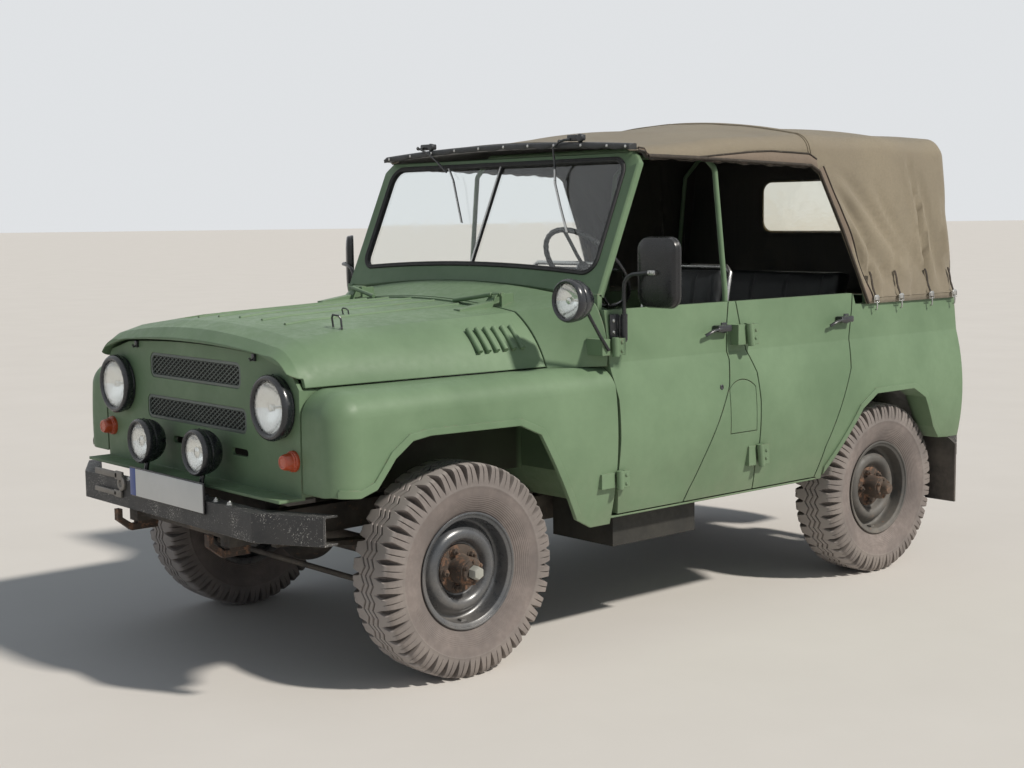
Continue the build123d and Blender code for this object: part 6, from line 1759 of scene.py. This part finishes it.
@dataclass
class Bumper:
    """Front number plate, bumper bolts and tow fork."""

    def build(self) -> None:
        """Makes the plate and the bumper's fastenings."""
        front = at(-0.7485)
        rim, white, blue = Shape(), Shape(), Shape()
        rim.block((-0.219, front - 0.0085, 0.613), (0.313, front - 0.001, 0.723), 0.004)
        white.block((-0.172, front - 0.0105, 0.618), (0.308, front - 0.005, 0.718), 0.002)
        blue.block((-0.214, front - 0.0105, 0.618), (-0.1725, front - 0.005, 0.718), 0.002)
        rim.finish("plate_rim", "bakelite", "black_trim")
        white.finish("plate_face", "plate_white", "body_paint")
        blue.finish("plate_band", "plate_blue", "body_paint")
        bolts, fork = Shape(), Shape()
        for x, station in ((-0.325, -0.73), (-0.275, -0.73), (0.335, -0.722), (0.425, -0.722)):
            bolts.bolt((x, at(station), 0.66), (0, 0, 1), 0.0095, 0.009)
            bolts.bolt((x, at(station), 0.668), (0, 0, 1), 0.005, 0.006, 12)
        for low, high, x0, x1 in ((0.664, 0.688, -0.495, -0.315), (0.598, 0.618, -0.5, -0.325)):
            fork.block((x0, at(-0.7595), low), (x1, at(-0.748), high), 0.004)
            fork.block((x1 - 0.02, at(-0.7595), low - 0.004), (x1 + 0.035, at(-0.748), high + 0.004), 0.004)
        fork.lathe([(0.028, 0.0), (0.028, 0.0085), (0.025, 0.011), (0.014, 0.0112), (0.012, 0.006), (0.0, 0.006)],
                   turned(-0.292, at(-0.7478), 0.648, 90), 28)
        bolts.finish("bumper_bolts", "bright_steel", "steel")
        fork.finish("tow_fork", "steel", "steel")


NODES_BY_FINISH = {
    "frame_black": ("chassis_frame front_axle rear_axle suspension radiator knuckle_left knuckle_right tie_rod "
                    "spare_carrier"), "steel": "powertrain", "rusty_iron": "exhaust tow_hooks",
    # The fuel tanks are darkened to near black as painted shade under the sills.
    "shade_black": "fuel_tanks",
    "body_paint": ("floor body_side_left body_side_right tailgate fender_left fender_right nose_panel cowl "
                   "canopy_frame dashboard hood door_front_left door_front_right door_rear_left door_rear_right "
                   "fuel_flap_left fuel_flap_right"), "bumper_black": "front_bumper rear_bumpers", "rubber": "mudflaps",
    "clear_film": "rear_window",
    "bakelite": "controls",
}


def dress_nodes(nodes: dict[str, Piece]) -> None:
    """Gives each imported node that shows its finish.

    Args:
        nodes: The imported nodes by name.
    """
    for finish, names in NODES_BY_FINISH.items():
        for node in (nodes[name] for name in names.split()):
            if not node.material_slots:
                node.data.materials.append(None)
            for slot in node.material_slots:
                slot.link = "OBJECT"
                slot.material = FINISHES[finish]
            LOG.info("%s: %s", node.name, finish)


@dataclass
class Studio:
    """Pale floor, soft light and the camera at the photograph's angle."""

    eye: Point = (4.973, -4.6525, 1.62)
    azimuth: float = 49.105
    elevation: float = 6.199
    roll: float = -0.712
    focal_px: float = 1566.4
    image_width: int = 1024

    def floor(self) -> None:
        """Plain pale floor that keeps the car's shadow."""
        bpy.ops.mesh.primitive_grid_add(x_subdivisions=2, y_subdivisions=2, size=400, location=(0, 0, 0))
        floor = bpy.context.object
        floor.name = "floor_stage"
        material, graph, shader = start_material("floor_pale")
        tone = graph.mix(graph.noise(1.2, 5.0, 0.6), (0.64, 0.605, 0.565), (0.71, 0.675, 0.635))
        graph.link(tone, shader, "Base Color")
        shader.inputs["Roughness"].default_value = 0.92
        floor.data.materials.append(material)

    def world(self) -> None:
        """Even pale surroundings, brighter where the camera and gloss see them."""
        world = bpy.data.worlds.new("studio")
        bpy.context.scene.world = world
        world.use_nodes = True
        world.node_tree.nodes.clear()
        graph = Graph(world.node_tree)
        path = graph.add("LightPath")
        seen = graph.plus(path.outputs["Is Camera Ray"], path.outputs["Is Glossy Ray"])
        seen = graph.plus(seen, path.outputs["Is Transmission Ray"])
        light = graph.add("Background", {"Color": (0.76, 0.87, 1.0, 1.0), "Strength": 0.27})
        shown = graph.add("Background", {"Color": (0.8, 0.82, 0.84, 1.0), "Strength": 0.93})
        mixed = graph.add("MixShader", {0: seen, 1: light.outputs[0], 2: shown.outputs[0]})
        leave = graph.add("OutputWorld")
        graph.link(mixed.outputs[0], leave, "Surface")

    def lamps(self) -> None:
        """Soft sun from the car's left and a little behind, as in the photograph, and a low fill in front."""
        sun = bpy.data.lights.new("sun", "SUN")
        sun.energy, sun.angle, sun.color = 3.35, radians(4), (1.0, 0.955, 0.88)
        fill = bpy.data.lights.new("fill", "AREA")
        fill.shape, fill.size, fill.energy, fill.color = "DISK", 5.0, 14, (0.86, 0.93, 1.0)
        for data, place, aim in ((sun, (6.2, 2.6, 6.6), (0, 0, 0)), (fill, (-1.5, -8.0, 3.6), (0, -1.0, 0.9))):
            lamp = bpy.data.objects.new(f"lamp_{data.name}", data)
            bpy.context.scene.collection.objects.link(lamp)
            lamp.location = place
            lamp.rotation_mode = "QUATERNION"
            lamp.rotation_quaternion = (Vector(aim) - Vector(place)).to_track_quat("-Z", "Y")

    def camera(self) -> None:
        """Camera with the photograph's eye point, angle and width of view."""
        a, e, r = (radians(v) for v in (self.azimuth, self.elevation, self.roll))
        back = Vector((sin(a) * cos(e), -cos(a) * cos(e), sin(e)))
        right = Vector((cos(a), sin(a), 0))
        up = back.cross(right)
        right, up = right * cos(r) + up * sin(r), up * cos(r) - right * sin(r)
        data = bpy.data.cameras.new("photo_camera")
        data.sensor_width = 36.0
        data.lens = self.focal_px * 36.0 / self.image_width
        data.clip_end = 200.0
        camera = bpy.data.objects.new("photo_camera", data)
        bpy.context.scene.collection.objects.link(camera)
        camera.matrix_world = axes(self.eye, right, up, back)
        bpy.context.scene.camera = camera

    def build(self) -> None:
        """Sets up the whole studio."""
        self.floor()
        self.world()
        self.lamps()
        self.camera()
        bpy.context.scene.view_settings.view_transform = "Standard"


def make_wheels() -> Iterable[Wheel]:
    """The four road wheels and the spare."""
    for place, side, y in (("front_left", 1, FRONT_AXLE_Y), ("front_right", -1, FRONT_AXLE_Y),
                           ("rear_left", 1, REAR_AXLE_Y), ("rear_right", -1, REAR_AXLE_Y)):
        yield Wheel(place, (side * HALF_TRACK, y, HUB_HEIGHT), (side, 0, 0), f"wheel_{place}",
                    place.startswith("front"))
    yield Wheel("spare", (0.06, REAR_AXLE_Y + 0.885 - 0.109, 0.93), (0, 1, 0), Body.SPARE_ARM, False)


def main() -> None:
    """Builds the looks of the whole car."""
    logging.basicConfig(level=logging.INFO, format="%(message)s")
    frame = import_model()
    Studio().build()
    dress_nodes(frame["nodes"])
    for wheel in make_wheels():
        wheel.build()
    for part in (SoftTop(), Seats(), Lamps(), HoodFittings(), Windscreen(), Grilles(), DoorFittings(), Cabin(),
                 Bumper(), Mirror("left", 1, Body.FRONT_DOOR_LEFT, (0.99, 0.762, 1.4), 0.0),
                 Mirror("right", -1, Body.FRONT_DOOR_RIGHT, (1.0, 0.79, 1.4), -35.0)):
        part.build()


if __name__ == "__main__":
    main()
